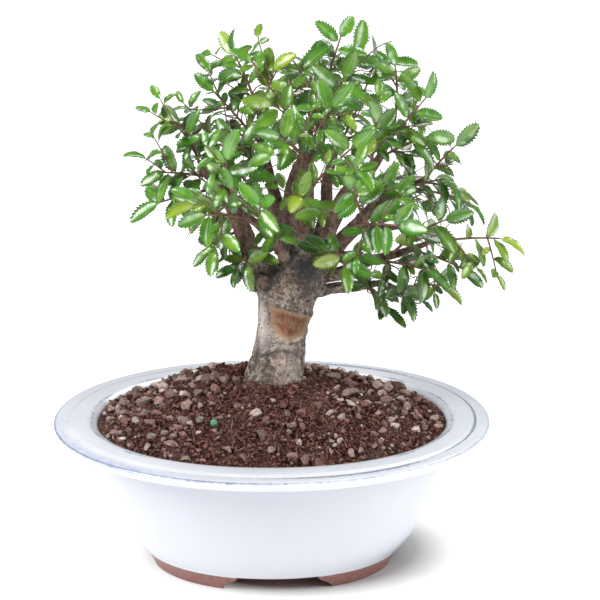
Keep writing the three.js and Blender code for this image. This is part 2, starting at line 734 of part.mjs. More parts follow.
function growLeaves(draw, path, count, obstacles) {
  const leaves = [];
  const blades = [];
  for (let i = 0; i <= count; i++) {
    const side = i === count ? 0 : 2 * (i % 2) - 1;
    const place = i === count ? 1 : mix(FIRST_LEAF_AT, LAST_LEAF_AT, i / (count - 1));
    for (let j = 0; j < LEAF_TRIES; j++) {
      const leaf = drawLeaf(draw, path, place, side);
      const blade = bladeAlone(path, leaf);
      if (isClear(bladeAlone(path, leaf, GAP), obstacles) && isClear(blade, blades)) {
        leaves.push(leaf);
        blades.push({ box: blade.boundingBox(), body: blade });
        break;
      }
    }
  }
  return leaves;
}

function makeSpray(index, limb, order, obstacles) {
  const curve = new THREE.CatmullRomCurve3(limb.path.map(vector), false, "catmullrom", 0.5);
  const share = limb.tips.length > 1 ? order / (limb.tips.length - 1) : 1;
  const start = curve.getPoint(mix(limb.twigsFrom, 1, share) - 0.01);
  const tip = vector(limb.tips[order]);
  const lateral = Math.round(start.distanceTo(tip) / LEAF_SPACING);
  const count = Math.min(LATERAL_LEAVES[1], Math.max(LATERAL_LEAVES[0], lateral));
  for (let i = 0; i < TWIG_TRIES; i++) {
    const draw = seededNumbers(FIRST_SEED + index + SEEDS_PER_TRY * i);
    const path = drawTwig(draw, start, tip, TIP_STRAY * i);
    const from = twigStart(path, obstacles[0]);
    if (isClear(twigAlone(path, from, GAP), obstacles)) {
      const body = sprayBody(path, from, growLeaves(draw, path, count, obstacles));
      if (isClear(body, obstacles)) return body;
    }
  }
  throw new Error(`no clear way for twig ${order + 1} of limb ${limb.name}`);
}

function makeSprays(trunk) {
  const obstacles = [{ box: trunk.boundingBox(), body: trunk }];
  const sprays = [];
  for (const limb of LIMBS) {
    limb.tips.forEach((tip, order) => {
      const index = sprays.length;
      const body = makeSpray(index, limb, order, obstacles);
      obstacles.push({ box: body.boundingBox(), body });
      sprays.push({ name: `spray_${limb.name}_${order + 1}`, body });
    });
  }
  return sprays;
}

// Assembly

const wood = cutScar(makeWood(0));
const grownWood = makeWood(GAP);
const soil = makeSoil(grownWood, makePellet(GAP));

const plant = new THREE.Group();
plant.add(node("pot", makePot(), COLOURS.pot));
plant.add(node("drain_mesh_left", makeDrainMesh(-DRAIN_X), COLOURS.mesh));
plant.add(node("drain_mesh_right", makeDrainMesh(DRAIN_X), COLOURS.mesh));
plant.add(node("soil", soil, COLOURS.soil));
plant.add(node("fertiliser_pellet", makePellet(0), COLOURS.pellet));
plant.add(node("trunk", wood, COLOURS.wood));
for (const { name, body } of makeSprays(wood)) {
  plant.add(node(name, body, YOUNG_SPRAYS.includes(name) ? COLOURS.youngLeaf : COLOURS.leaf));
}

// The origin goes to the middle of the whole box, on the floor
const whole = new THREE.Box3().setFromObject(plant, true);
plant.position.set(-(whole.min.x + whole.max.x) / 2, -(whole.min.y + whole.max.y) / 2, -whole.min.z);

const group = new THREE.Group();
group.add(plant);

export default group;
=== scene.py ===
"""The looks of a potted Chinese elm bonsai: glazed pot, soil, bark, twigs and toothed leaves.

Shapes are worked out in millimetres round the pot's upright axis, with +Y to the back,
and are moved into the frame when they become meshes.
"""

import math

import bmesh
import bpy
import numpy as np
from mathutils import Matrix, Vector, noise
from mathutils.bvhtree import BVHTree


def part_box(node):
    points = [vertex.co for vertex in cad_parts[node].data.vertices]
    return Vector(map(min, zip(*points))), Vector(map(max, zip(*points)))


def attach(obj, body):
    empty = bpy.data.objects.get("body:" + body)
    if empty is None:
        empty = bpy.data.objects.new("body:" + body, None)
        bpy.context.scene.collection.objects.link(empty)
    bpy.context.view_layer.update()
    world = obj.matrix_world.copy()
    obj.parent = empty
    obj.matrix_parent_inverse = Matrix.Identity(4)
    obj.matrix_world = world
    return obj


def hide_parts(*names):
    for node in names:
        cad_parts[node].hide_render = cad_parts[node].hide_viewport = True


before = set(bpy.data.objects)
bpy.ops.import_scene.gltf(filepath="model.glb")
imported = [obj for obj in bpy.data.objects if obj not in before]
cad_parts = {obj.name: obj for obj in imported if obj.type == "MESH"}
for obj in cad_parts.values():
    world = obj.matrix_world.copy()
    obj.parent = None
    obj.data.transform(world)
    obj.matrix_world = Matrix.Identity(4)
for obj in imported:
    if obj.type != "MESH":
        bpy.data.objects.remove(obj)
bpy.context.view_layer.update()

MM = 0.001
pot_low, pot_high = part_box("pot")
SHIFT = np.array([(pot_low.x + pot_high.x) / 2, (pot_low.y + pot_high.y) / 2, 0.0]) / MM

# Pot
POT_HEIGHT = 79
RIM_LENGTH, RIM_WIDTH = 115, 90
OVAL_POWER = 2.07
WIDTH_RATIO = 0.745
UNDERSIDE = 8
FOOT_WIDTH = 13
FOOT_SHIFT = 3
DRAIN_RADIUS, DRAIN_X = 6.5, 34
FLOOR_TOP = 15
GLAZE_ENDS = 6.6
EDGE_BEVEL = 0.7
# The gaps between the feet: how wide at the table and at the top
FRONT_GAP, SIDE_GAP = (56, 42), (34, 24)
CUT_LENGTH = 140
# Below the rim the wall's glaze is painted greyer than the rim's, as painted shade, from one height down to
# the other
WALL_SHADE_TOP, WALL_SHADE_FULL = 70.5, 68
# Profiles: height and half length of the body, height and inset of the rim,
# height, half length and half width of the hollow
BODY_PROFILE = [(0, 65), (6.6, 68), (20, 78), (36, 85.2), (54, 91.5), (72, 97)]
RIM_PROFILE = [
    (72.3, 12), (72.25, 8), (72.4, 4.6), (72.9, 2.4), (73.9, 0.9), (75.2, 0.2), (76.6, 0), (77.5, 0.2),
    (78.0, 0.7), (78.25, 1.5), (78.3, 3.0), (78.3, 6.4), (78.38, 7.6), (78.7, 8.4), (78.93, 9.2),
    (POT_HEIGHT, 10.6), (POT_HEIGHT, 14), (78.95, 17.2), (78.7, 19.0), (78.1, 20.1),
]
CAVITY_PROFILE = [(15, 62, 44), (30, 75, 54), (52, 84, 61), (74, 91, 66.5), (POT_HEIGHT, 94.5, 69.5)]

# Soil
SOIL_EDGE, SOIL_RISE = 76, 24
SOIL_LENGTH, SOIL_WIDTH = 92.1, 67.4
GAP = 0.3
POCKET_SIZE, POCKET_HEIGHTS = 12.4, (10, 16.9)
# How far from the trunk's middle the grains and the chips stay
ROOT_RADIUS, FIBRE_CLEARANCE = 16.8, 21
FIBRE_COUNT, FIBRE_SEED = 1700, 71
# The packed soil's own grains
GRAIN_COUNT, GRAIN_SEED = 18, 5
GRAIN_RADIUS = (1.9, 3.3)
GRAIN_REACH = (0.35, 0.92)
# Larger stones that the photograph shows: middle and radius
SEEN_STONES = [
    (-18.5, -9, 3.2), (26, 8, 2.9), (19.5, 3, 1.9), (-66, -8, 3.8), (-58, 6, 3.4),
    (-47, 10, 3.6), (-72, 8, 3.2), (-80, -6, 3.0), (-44, -34, 3.6), (-62, -30, 3.9),
    (-30, -12, 2.9), (-52, -8, 3.1), (-70, -20, 3.0), (10, -44, 2.6), (36, -34, 2.7),
    (48, -20, 2.8), (62, -26, 2.8), (70, -8, 3.0), (-4, -50, 2.4), (56, 4, 2.9),
]
PELLET_RADIUS = 1.9
PELLET_PLACE = (-29, -40)

# Leaves and twigs
LEAF_WIDTH_RATIO = 0.56
FINE_LEAF_SIZE = 0.85
FINE_WIDTH_RATIO = 0.52
SHOOTS, SHOOT_LEAVES = 3, 4
SHOOT_LEAF_TRIES = 6
SHOOT_LEAF_SIZE = (0.48, 0.86)
SHOOT_LOOSENESS, SHOOT_RISE = 2.6, 0.75
BARE_TWIGS = 4
SHOOT_SEED, BARE_TWIG_SEED, BLADE_SEED = 90000, 70000, 500
LEAF_FOLD = 0.32
LEAF_LENGTH = (16, 20)
INNER_LEAF_SIZE = 0.88
TWIG_HALF_WIDTH = 0.8
LEAF_SPACING = 7.3
LATERAL_LEAVES = (4, 6)
FIRST_LEAF_AT, LAST_LEAF_AT = 0.34, 0.9
LEAF_TRIES = 16
TWIG_TRIES = 20
FIRST_SEED, SEEDS_PER_TRY = 100, 1000
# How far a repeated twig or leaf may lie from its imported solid
TWIG_MISS, LEAF_MISS = 0.9, 0.45
CROWN_CENTRE = np.array([25.0, 0.0, 175.0])
CROWN_HALF_SIZE = np.array([88, 72, 84])
LIGHT_OUTWARD, LIGHT_FRONT, LIGHT_UP = 0.9, 0.5, 0.45
FACING_SPREAD = (0.5, 0.5, 0.3)
LEAF_TURN = 0.55
LEAF_DROOP, DROOP_SPREAD = 0.15, 0.35
LEAF_SPREAD = (0.85, 1.2)
END_LEAF_STRAY = 0.5
LEAF_SHIFT = 0.04
TWIG_SWAY, TWIG_RISE = 0.16, 0.3
TIP_STRAY = 1.5

# Trunk sections: height, middle x, middle y, half width in x, half width in y
TRUNK_SECTIONS = [
    (52, 0, 0, 7, 7),
    (70, 0, 0, 13, 12),
    (88, 0.3, 0, 18.5, 16.5),
    (96, 0.5, 0, 16.8, 15),
    (106, 2, 0, 14.9, 13.5),
    (115, 3.6, 0, 13.8, 12.9),
    (125, 5.1, 0, 13.2, 12.6),
    (134, 7, 0, 13.7, 12.6),
    (142, 8.6, 0, 15, 12.8),
    (150, 10, 0, 16.8, 13),
    (157, 12.5, 0, 16, 12),
    (164, 16.5, 0, 13.5, 10.5),
    (171, 20, 0, 9.5, 8),
]
BARK_WAVE = 0.045
BARK_VOXEL = 0.74
SEAM_HALF_LENGTH = 16
# The faces of the two cut branches: middle and radius
CUT_FACES = [((-7, -14, 157), 3.2), ((5, -15, 171.5), 3.0)]

# The pruning scar: height and distance across, on the trunk's front turned a little to the right
SCAR_OUTLINE = [
    (143.0, -11.6), (140.8, 1), (136.2, 11.8), (130.2, 11.8), (126.6, 8.8),
    (124.2, 4), (123.8, -2), (126, -7), (130, -9.8), (136, -11),
]
SCAR_DEPTH = 1.3
SCAR_TURN = math.radians(14)
SCAR_MIDDLE_X = 7.5
SCAR_ROUNDING = 0.6
SCAR_FRONT = 4

# Limbs: name, path, radius at both ends, where its twigs begin, and the twigs' tips
LIMBS = [
    ("left", [(0, 0, 150), (-10, -3, 166), (-14, -6, 181), (-21, -8, 198), (-28, -10, 209), (-35, -12, 215)],
     (6.5, 2), 0.3,
     [(-10, -24, 172), (-31, -12, 174), (-37, -35, 203), (-56, -20, 200), (-54, -14, 217), (-45, -5, 238)]),
    ("front_left", [(11, -4, 163), (2, -22, 180), (-7, -36, 194), (-17, -46, 204)],
     (3.6, 1.4), 0.55,
     [(-4, -68, 212), (-28, -62, 205), (-18, -55, 230)]),
    ("upright", [(14, 0, 160), (6, 5, 183), (2, 6, 197), (-1, 8, 209), (-4, 8, 226), (-6, 6, 242)],
     (4.5, 1.5), 0.5,
     [(-20, -24, 234), (-34, 5, 226), (-29, 8, 251), (-19, 10, 269), (-3, 0, 266)]),
    ("leader", [(19, 0, 160), (11, 0, 188), (14, -2, 211), (24, -4, 227), (26, -3, 241), (28, -1, 258)],
     (6, 1.5), 0.55,
     [(1, -30, 252), (31, -32, 259), (10, -8, 271), (35, -2, 280)]),
    ("back_leader", [(22, 1, 162), (28, 12, 185), (29, 18, 202), (33, 22, 217), (36, 24, 237)],
     (4.4, 1.4), 0.7,
     [(53, 30, 262), (19, 38, 258), (44, 20, 268)]),
    ("front_up", [(17, -4, 164), (17, -22, 190), (19, -34, 213), (20, -38, 234)],
     (3.6, 1.3), 0.45,
     [(14, -62, 214), (40, -60, 238), (5, -58, 242), (30, -46, 254)]),
    ("right_up", [(24, 0, 164), (36, -6, 198), (47, -10, 210), (55, -12, 222), (62, -10, 238)],
     (4.4, 1.4), 0.6,
     [(52, -40, 246), (78, -10, 231), (76, -14, 252), (62, -5, 266)]),
    ("right_mid", [(24, 1, 160), (42, 4, 179), (53, 8, 191), (66, 10, 198), (79, 8, 205)],
     (4.4, 1.4), 0.68,
     [(88, -8, 209), (102, 8, 192), (94, 6, 223)]),
    ("right_low", [(22, 0, 154), (38, -6, 160), (52, -9, 167), (66, -10, 171), (81, -8, 176)],
     (4, 1.4), 0.5,
     [(78, -31, 168), (86, -38, 196), (98, -16, 163), (117, -5, 177)]),
    ("lowest", [(18, 0, 146), (36, 2, 149), (44, 4, 148), (56, 2, 151), (67, 0, 148)],
     (3.4, 1.3), 0.55,
     [(53, -17, 153), (70, -9, 146), (88, 4, 149)]),
    ("front_right", [(22, -4, 160), (32, -24, 179), (42, -38, 195), (51, -50, 205)],
     (3.6, 1.3), 0.4,
     [(36, -52, 176), (61, -74, 203), (40, -70, 221), (67, -56, 222)]),
    ("right_back", [(26, 2, 162), (36, 14, 172), (46, 24, 174), (60, 33, 172), (74, 38, 172)],
     (3.8, 1.3), 0.65,
     [(80, 57, 184), (93, 45, 162)]),
    ("back_left", [(14, 3, 160), (5, 24, 174), (-3, 40, 184), (-12, 53, 191)],
     (3.6, 1.3), 0.7,
     [(-27, 64, 182), (-32, 50, 211)]),
    ("back_right", [(23, 4, 160), (34, 26, 178), (45, 44, 188), (55, 57, 196)],
     (3.6, 1.3), 0.7,
     [(80, 68, 188), (56, 68, 219)]),
    ("back_mid", [(19, 4, 162), (20, 32, 186), (20, 45, 208), (21, 47, 226)],
     (3.6, 1.3), 0.6,
     [(-8, 66, 218), (38, 66, 240), (13, 58, 251)]),
]
YOUNG_SPRAYS = [
    "spray_right_low_4", "spray_front_up_1", "spray_left_3", "spray_upright_5", "spray_back_mid_2",
]

# A dry twig, the stubs of two cut branches and three roots at the soil: path, radius at both ends
BARE_WOOD = [
    ([(1, 0, 144), (-12, -3, 152), (-16, -4, 164), (-22, -8, 177)], (1.9, 0.9)),
    ([(2, -4, 153), (-5.5, -12, 156)], (5.4, 4.3)),
    ([(11, -3, 166), (6, -12.5, 170.5)], (4.4, 3.7)),
    ([(-4, -5, 101), (-14, -9, 96), (-20, -12, 86)], (6, 4)),
    ([(6, 2, 101), (17, -8, 95), (22, -12, 84)], (6, 4)),
    ([(4, 4, 101), (6, 15, 95), (8, 20, 84)], (6, 4)),
]


# Lamps: name, place in metres, size, power; and where they point
LAMPS = [
    ("key", (-1.0, -0.55, 0.95), 0.7, 19.5),
    ("fill", (1.1, -0.5, 0.8), 0.8, 13.5),
    ("back", (0.25, 0.9, 1.3), 0.8, 8.5),
]
LAMP_AIM = (0, 0, 0.13)
# The floor's glow rises over these distances from the pot, in metres; fading out near the pot, it paints a
# shadow there
SHADE_EDGE, LIGHT_EDGE = (0.064, 0.092), (0.3, 1.6)
# The photograph's camera, in the pot's millimetres and in radians
CAMERA_PLACE = (9.18, -932.24, 441.49)
CAMERA_PITCH, CAMERA_YAW = 0.31022, 0.00605
CAMERA_FOCAL_PX, PHOTO_PX = 1889.2, 600


# Numbers and curves
def seeded_numbers(seed):
    """The same repeatable source of numbers from 0 to 1 that placed the solids' leaves."""
    state = (seed * 7654321 + 12345) % 4294967296

    def draw():
        nonlocal state
        state = (state * 1664525 + 1013904223) % 4294967296
        return state / 4294967296

    for _ in range(4):
        draw()
    return draw


def mix(a, b, t):
    return a + (b - a) * t


def unit(v):
    return v / math.sqrt(float(v @ v))


def hermite(before, a, b, after, w):
    """A point from a to b on the smooth curve that also meets the points before and after."""
    slope_a, slope_b = (b - before) / 2, (after - a) / 2
    return (a + slope_a * w + (-3 * a + 3 * b - 2 * slope_a - slope_b) * w ** 2
            + (2 * a - 2 * b + slope_a + slope_b) * w ** 3)


def curve_point(path, t):
    """A point on a smooth curve through the path's points, t from 0 to 1."""
    points = [np.array(p, float) for p in path]
    place = min(max(t, 0.0), 1.0) * (len(points) - 1)
    i = min(int(place), len(points) - 2)
    a, b = points[i], points[i + 1]
    before = points[i - 1] if i > 0 else 2 * a - b
    after = points[i + 2] if i + 2 < len(points) else 2 * b - a
    return hermite(before, a, b, after, place - i)


def oval(half_length, half_width, angle, power=OVAL_POWER):
    c, s = np.cos(angle), np.sin(angle)
    x = half_length * np.sign(c) * np.abs(c) ** (2 / power)
    y = half_width * np.sign(s) * np.abs(s) ** (2 / power)
    return x, y


def around(sides):
    """Evenly spaced angles round a full turn."""
    return 2 * math.pi * np.arange(sides) / sides


def level(x, y, z):
    """A level ring of points at one height."""
    return np.column_stack([x, y, np.full(len(x), z)])


def bell(value, middle, width):
    """1 at the middle, falling smoothly to 0 over about this width."""
    return np.exp(-((value - middle) / width) ** 2)


def patch(x, z, middle_x, middle_z, spread_x, spread_z):
    """1 in the middle of a soft oval patch on the trunk's front, by the squares of its half widths."""
    return np.exp(-((x - middle_x) ** 2 / spread_x + (z - middle_z) ** 2 / spread_z))


def distances(points, place):
    return np.linalg.norm(points - np.array(place), axis=1)


# Meshes

def piece(name, points, faces, material, smooth=True):
    """A mesh object from points in millimetres round the pot's axis."""
    mesh = bpy.data.meshes.new(name)
    placed = (np.asarray(points, float) + SHIFT) * MM
    mesh.from_pydata(placed.tolist(), [], faces)
    mesh.validate()
    mesh.update()
    if smooth:
        mesh.shade_smooth()
    obj = bpy.data.objects.new(name, mesh)
    bpy.context.scene.collection.objects.link(obj)
    if material is not None:
        mesh.materials.append(material)
    return obj


def finish_piece(obj, slot, *nodes):
    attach(obj, "root")
    if nodes:
        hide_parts(*nodes)


def paint(obj, name, colours):
    """A colour for each vertex, as three numbers that the materials read as masks or tints."""
    layer = obj.data.color_attributes.new(name, "FLOAT_COLOR", "POINT")
    colours = np.asarray(colours, np.float32)
    if colours.shape[1] == 3:
        colours = np.hstack([colours, np.ones((len(colours), 1), np.float32)])
    layer.data.foreach_set("color", colours.ravel())


def skin(rings):
    """Points and faces of a closed tube over equal rings, with a fan at each end."""
    rings = [np.asarray(r, float) for r in rings]
    sides = len(rings[0])
    points = np.vstack(rings + [rings[0].mean(0)[None], rings[-1].mean(0)[None]])
    first, last = len(points) - 2, len(points) - 1
    top = (len(rings) - 1) * sides
    faces = []
    for i in range(len(rings) - 1):
        for j in range(sides):
            k = (j + 1) % sides
            faces.append((i * sides + j, i * sides + k, (i + 1) * sides + k, (i + 1) * sides + j))
    for j in range(sides):
        k = (j + 1) % sides
        faces.append((first, k, j))
        faces.append((last, top + j, top + k))
    return points, faces


def joined(parts):
    """One list of points and faces from several."""
    points, faces, base = [], [], 0
    for p, f in parts:
        points.append(p)
        faces.extend([tuple(i + base for i in face) for face in f])
        base += len(p)
    return np.vstack(points), faces


def tube(point_at, radius_at, sides, steps):
    """A round tube along a curve, with its section carried along unturned."""
    across = np.array([0.31, 0.9, 0.3])
    angles = around(sides)
    rings = []
    for i in range(steps + 1):
        t = i / steps
        way = unit(point_at(min(1, t + 0.01)) - point_at(max(0, t - 0.01)))
        across = unit(across - way * (across @ way))
        third = np.cross(way, across)
        spokes = np.outer(np.cos(angles), across) + np.outer(np.sin(angles), third)
        rings.append(point_at(t) + radius_at(t) * spokes)
    return skin(rings)


def tapered(path, radii, sides, steps, point=curve_point):
    """A tube along a path, with its radius changing evenly from the first to the last."""
    return tube(lambda t: point(path, t), lambda t: mix(*radii, t), sides, steps)


def apply_modifiers(obj):
    graph = bpy.context.evaluated_depsgraph_get()
    mesh = bpy.data.meshes.new_from_object(obj.evaluated_get(graph))
    obj.modifiers.clear()
    obj.data = mesh


def coordinates(obj):
    """The vertices in millimetres round the pot's axis."""
    co = np.empty(len(obj.data.vertices) * 3, np.float32)
    obj.data.vertices.foreach_get("co", co)
    return co.reshape(-1, 3).astype(float) / MM - SHIFT


def move_vertices(obj, points):
    placed = ((points + SHIFT) * MM).astype(np.float32)
    obj.data.vertices.foreach_set("co", placed.ravel())
    obj.data.update()


def normals_of(obj):
    values = np.empty(len(obj.data.vertices) * 3, np.float32)
    obj.data.vertices.foreach_get("normal", values)
    return values.reshape(-1, 3).astype(float)


def rough(point, scale, octaves=3, seed=0.0):
    """Smooth noise from about -1 to 1 with features of about scale millimetres."""
    return noise.fractal(Vector(point) / scale + Vector((seed, seed, seed)), 1.0, 2.0, octaves)


# Materials

class Shader:
    """A short way to write a node material."""

    def __init__(self, name, roughness=0.5, **fixed):
        self.material = bpy.data.materials.new(name)
        self.material.use_nodes = True
        self.tree = self.material.node_tree
        self.surface = self.tree.nodes["Principled BSDF"]
        self.surface.inputs["Roughness"].default_value = roughness
        for socket, value in fixed.items():
            self.surface.inputs[socket.replace("_", " ")].default_value = value
        self.place = self.add("ShaderNodeTexCoord").outputs["Object"]

    def add(self, kind, inputs=None, **settings):
        node = self.tree.nodes.new(kind)
        for key, value in settings.items():
            setattr(node, key, value)
        for key, value in (inputs or {}).items():
            self.put(node.inputs[key], value)
        return node

    def put(self, socket, value):
        if isinstance(value, bpy.types.NodeSocket):
            self.tree.links.new(value, socket)
        else:
            socket.default_value = value

    def noise(self, scale_mm, detail=4.0, roughness=0.55, at=None):
        """Noise with features of about this many millimetres, from 0 to 1."""
        inputs = {"Vector": at or self.place, "Scale": 1 / (scale_mm * MM), "Detail": detail,
                  "Roughness": roughness}
        return self.add("ShaderNodeTexNoise", inputs).outputs["Fac"]

    def cells(self, scale_mm, at=None):
        """How far each place is from the middle of its cell."""
        inputs = {"Vector": at or self.place, "Scale": 1 / (scale_mm * MM)}
        return self.add("ShaderNodeTexVoronoi", inputs).outputs["Distance"]

    def math(self, operation, a, b=0.0):
        return self.add("ShaderNodeMath", {0: a, 1: b}, operation=operation).outputs[0]

    def times(self, a, b):
        return self.math("MULTIPLY", a, b)

    def plus(self, a, b):
        return self.math("ADD", a, b)

    def minus(self, a, b):
        return self.math("SUBTRACT", a, b)

    def larger(self, a, b):
        return self.math("MAXIMUM", a, b)

    def ramp(self, value, low, high, to_low=0.0, to_high=1.0):
        inputs = {"Value": value, "From Min": low, "From Max": high, "To Min": to_low, "To Max": to_high}
        return self.add("ShaderNodeMapRange", inputs).outputs["Result"]

    def blend(self, share, a, b, mode="MIX"):
        node = self.add("ShaderNodeMix", data_type="RGBA", blend_type=mode)
        self.put(node.inputs["Factor"], share)
        for socket, value in (("A", a), ("B", b)):
            self.put(node.inputs[socket], value if isinstance(value, bpy.types.NodeSocket) else (*value, 1))
        return node.outputs["Result"]

    def over(self, base, colour, mask, strength):
        """A colour laid over the base where the mask is, at this strength."""
        return self.blend(self.times(mask, strength), base, colour)

    def attribute(self, name):
        """The three channels of a painted colour."""
        colour = self.add("ShaderNodeVertexColor", layer_name=name).outputs["Color"]
        return self.add("ShaderNodeSeparateColor", {"Color": colour}).outputs[:3]

    def xyz(self, at=None):
        return self.add("ShaderNodeSeparateXYZ", {"Vector": at or self.place}).outputs[:3]

    def stretched(self, x, y, z):
        """The place, squeezed along each axis, for grain that runs one way."""
        return self.add("ShaderNodeMapping", {"Vector": self.place, "Scale": (x, y, z)}).outputs["Vector"]

    def colour(self, value):
        self.put(self.surface.inputs["Base Color"], value)

    def roughness(self, value):
        self.put(self.surface.inputs["Roughness"], value)

    def bump(self, height, distance_mm, strength=1.0):
        inputs = {"Height": height, "Distance": distance_mm * MM, "Strength": strength}
        self.put(self.surface.inputs["Normal"], self.add("ShaderNodeBump", inputs).outputs["Normal"])


def glaze_material():
    """Bluish white glaze that thins to blue-grey at the edges, over mauve-brown clay at the feet, with
    painted shade under the rim's lip, along its inner edge and over the wall below the rim.
    """
    s = Shader("glaze", 0.16, Coat_Weight=0.4, Coat_Roughness=0.05, IOR=1.5)
    thin_glaze_and_shade, clay, smear = s.attribute("glaze_and_shade_mask")
    white = s.blend(s.ramp(s.noise(26, 3), 0.3, 0.7), (0.72, 0.755, 0.835), (0.79, 0.815, 0.87))
    white = s.over(white, (0.52, 0.58, 0.68), s.ramp(s.noise(1.1, 2), 0.62, 0.72), 0.12)
    white = s.over(white, (0.10, 0.09, 0.09), s.ramp(s.cells(7.5), 0.05, 0.03), 0.6)
    cloudy = s.times(smear, s.ramp(s.noise(5, 3), 0.3, 0.62))
    white = s.over(white, (0.36, 0.43, 0.70), cloudy, 0.75)
    _, _, height = s.xyz()
    # Painted shade: the wall below the rim is painted greyer than the same glaze on the rim
    wall = s.ramp(height, WALL_SHADE_TOP * MM, WALL_SHADE_FULL * MM, 0.0, 0.85)
    white = s.blend(wall, white, (0.625, 0.650, 0.712))
    # Blue-grey where the glaze thins at the edges, and painted shade under the rim's lip and along its inner
    # edge
    broken = s.times(s.minus(s.noise(3, 3), 0.5), 0.7)
    edge = s.ramp(s.plus(thin_glaze_and_shade, broken), 0.4, 0.85)
    white = s.over(white, (0.19, 0.25, 0.37), edge, 0.85)
    pits = s.times(s.ramp(s.noise(1.6, 3), 0.60, 0.68), s.ramp(thin_glaze_and_shade, 0.35, 0.8))
    white = s.over(white, (0.05, 0.06, 0.11), pits, 0.85)
    brown = s.blend(s.ramp(s.noise(2.2, 4), 0.3, 0.7), (0.200, 0.080, 0.070), (0.285, 0.132, 0.114))
    ragged = s.times(s.minus(s.noise(4, 3), 0.5), 0.4)
    bare = s.ramp(s.plus(clay, ragged), 0.42, 0.58)
    s.colour(s.blend(bare, white, brown))
    s.roughness(s.ramp(bare, 0, 1, 0.15, 0.8))
    ripple = s.plus(s.noise(9, 2), s.times(s.noise(1.2, 2), 0.1))
    grain = s.times(s.noise(0.5, 3), bare)
    s.bump(s.plus(ripple, s.times(grain, 0.5)), 0.35, 0.5)
    return s.material


def peat_material():
    s = Shader("peat", 1.0, Specular_IOR_Level=0.08)
    tint, _, _ = s.attribute("grain_tint")
    dark = s.blend(s.ramp(s.noise(8, 5, 0.65), 0.35, 0.68), (0.034, 0.011, 0.009), (0.205, 0.086, 0.074))
    crumb = s.cells(1.7)
    # Painted shade: near black in the hollows between the crumbs, where the bump sinks
    dark = s.blend(s.ramp(crumb, 0.15, 0.65, 0.0, 0.85), dark, (0.012, 0.004, 0.003))
    warm = s.over(dark, (0.43, 0.200, 0.155), s.ramp(s.noise(1.6, 4, 0.7), 0.52, 0.62), 0.8)
    s.colour(s.over(warm, (0.34, 0.24, 0.19), tint, 0.35))
    s.bump(s.plus(s.noise(0.9, 5, 0.7), s.times(crumb, -0.8)), 1.6)
    return s.material


def grain_material():
    """Gravel, crumbs and chips: each one's tone is painted on it."""
    s = Shader("gravel", 0.95, Specular_IOR_Level=0.12)
    tone, warm, dark = s.attribute("grain_tint")
    stone = s.blend(tone, (0.210, 0.135, 0.108), (1.0, 0.87, 0.77))
    stone = s.blend(warm, stone, (0.315, 0.126, 0.104))
    stone = s.blend(dark, stone, (0.026, 0.008, 0.006))
    mottle = s.ramp(s.noise(0.9, 4, 0.7), 0.32, 0.68, 0.3, 1.4)
    channels = dict.fromkeys(("Red", "Green", "Blue"), mottle)
    stone = s.blend(1.0, stone, s.add("ShaderNodeCombineColor", channels).outputs["Color"], "MULTIPLY")
    s.colour(s.over(stone, (0.120, 0.055, 0.040), s.ramp(s.noise(2.4, 4, 0.7), 0.56, 0.66), 0.5))
    s.bump(s.noise(0.7, 5, 0.7), 0.9)
    return s.material


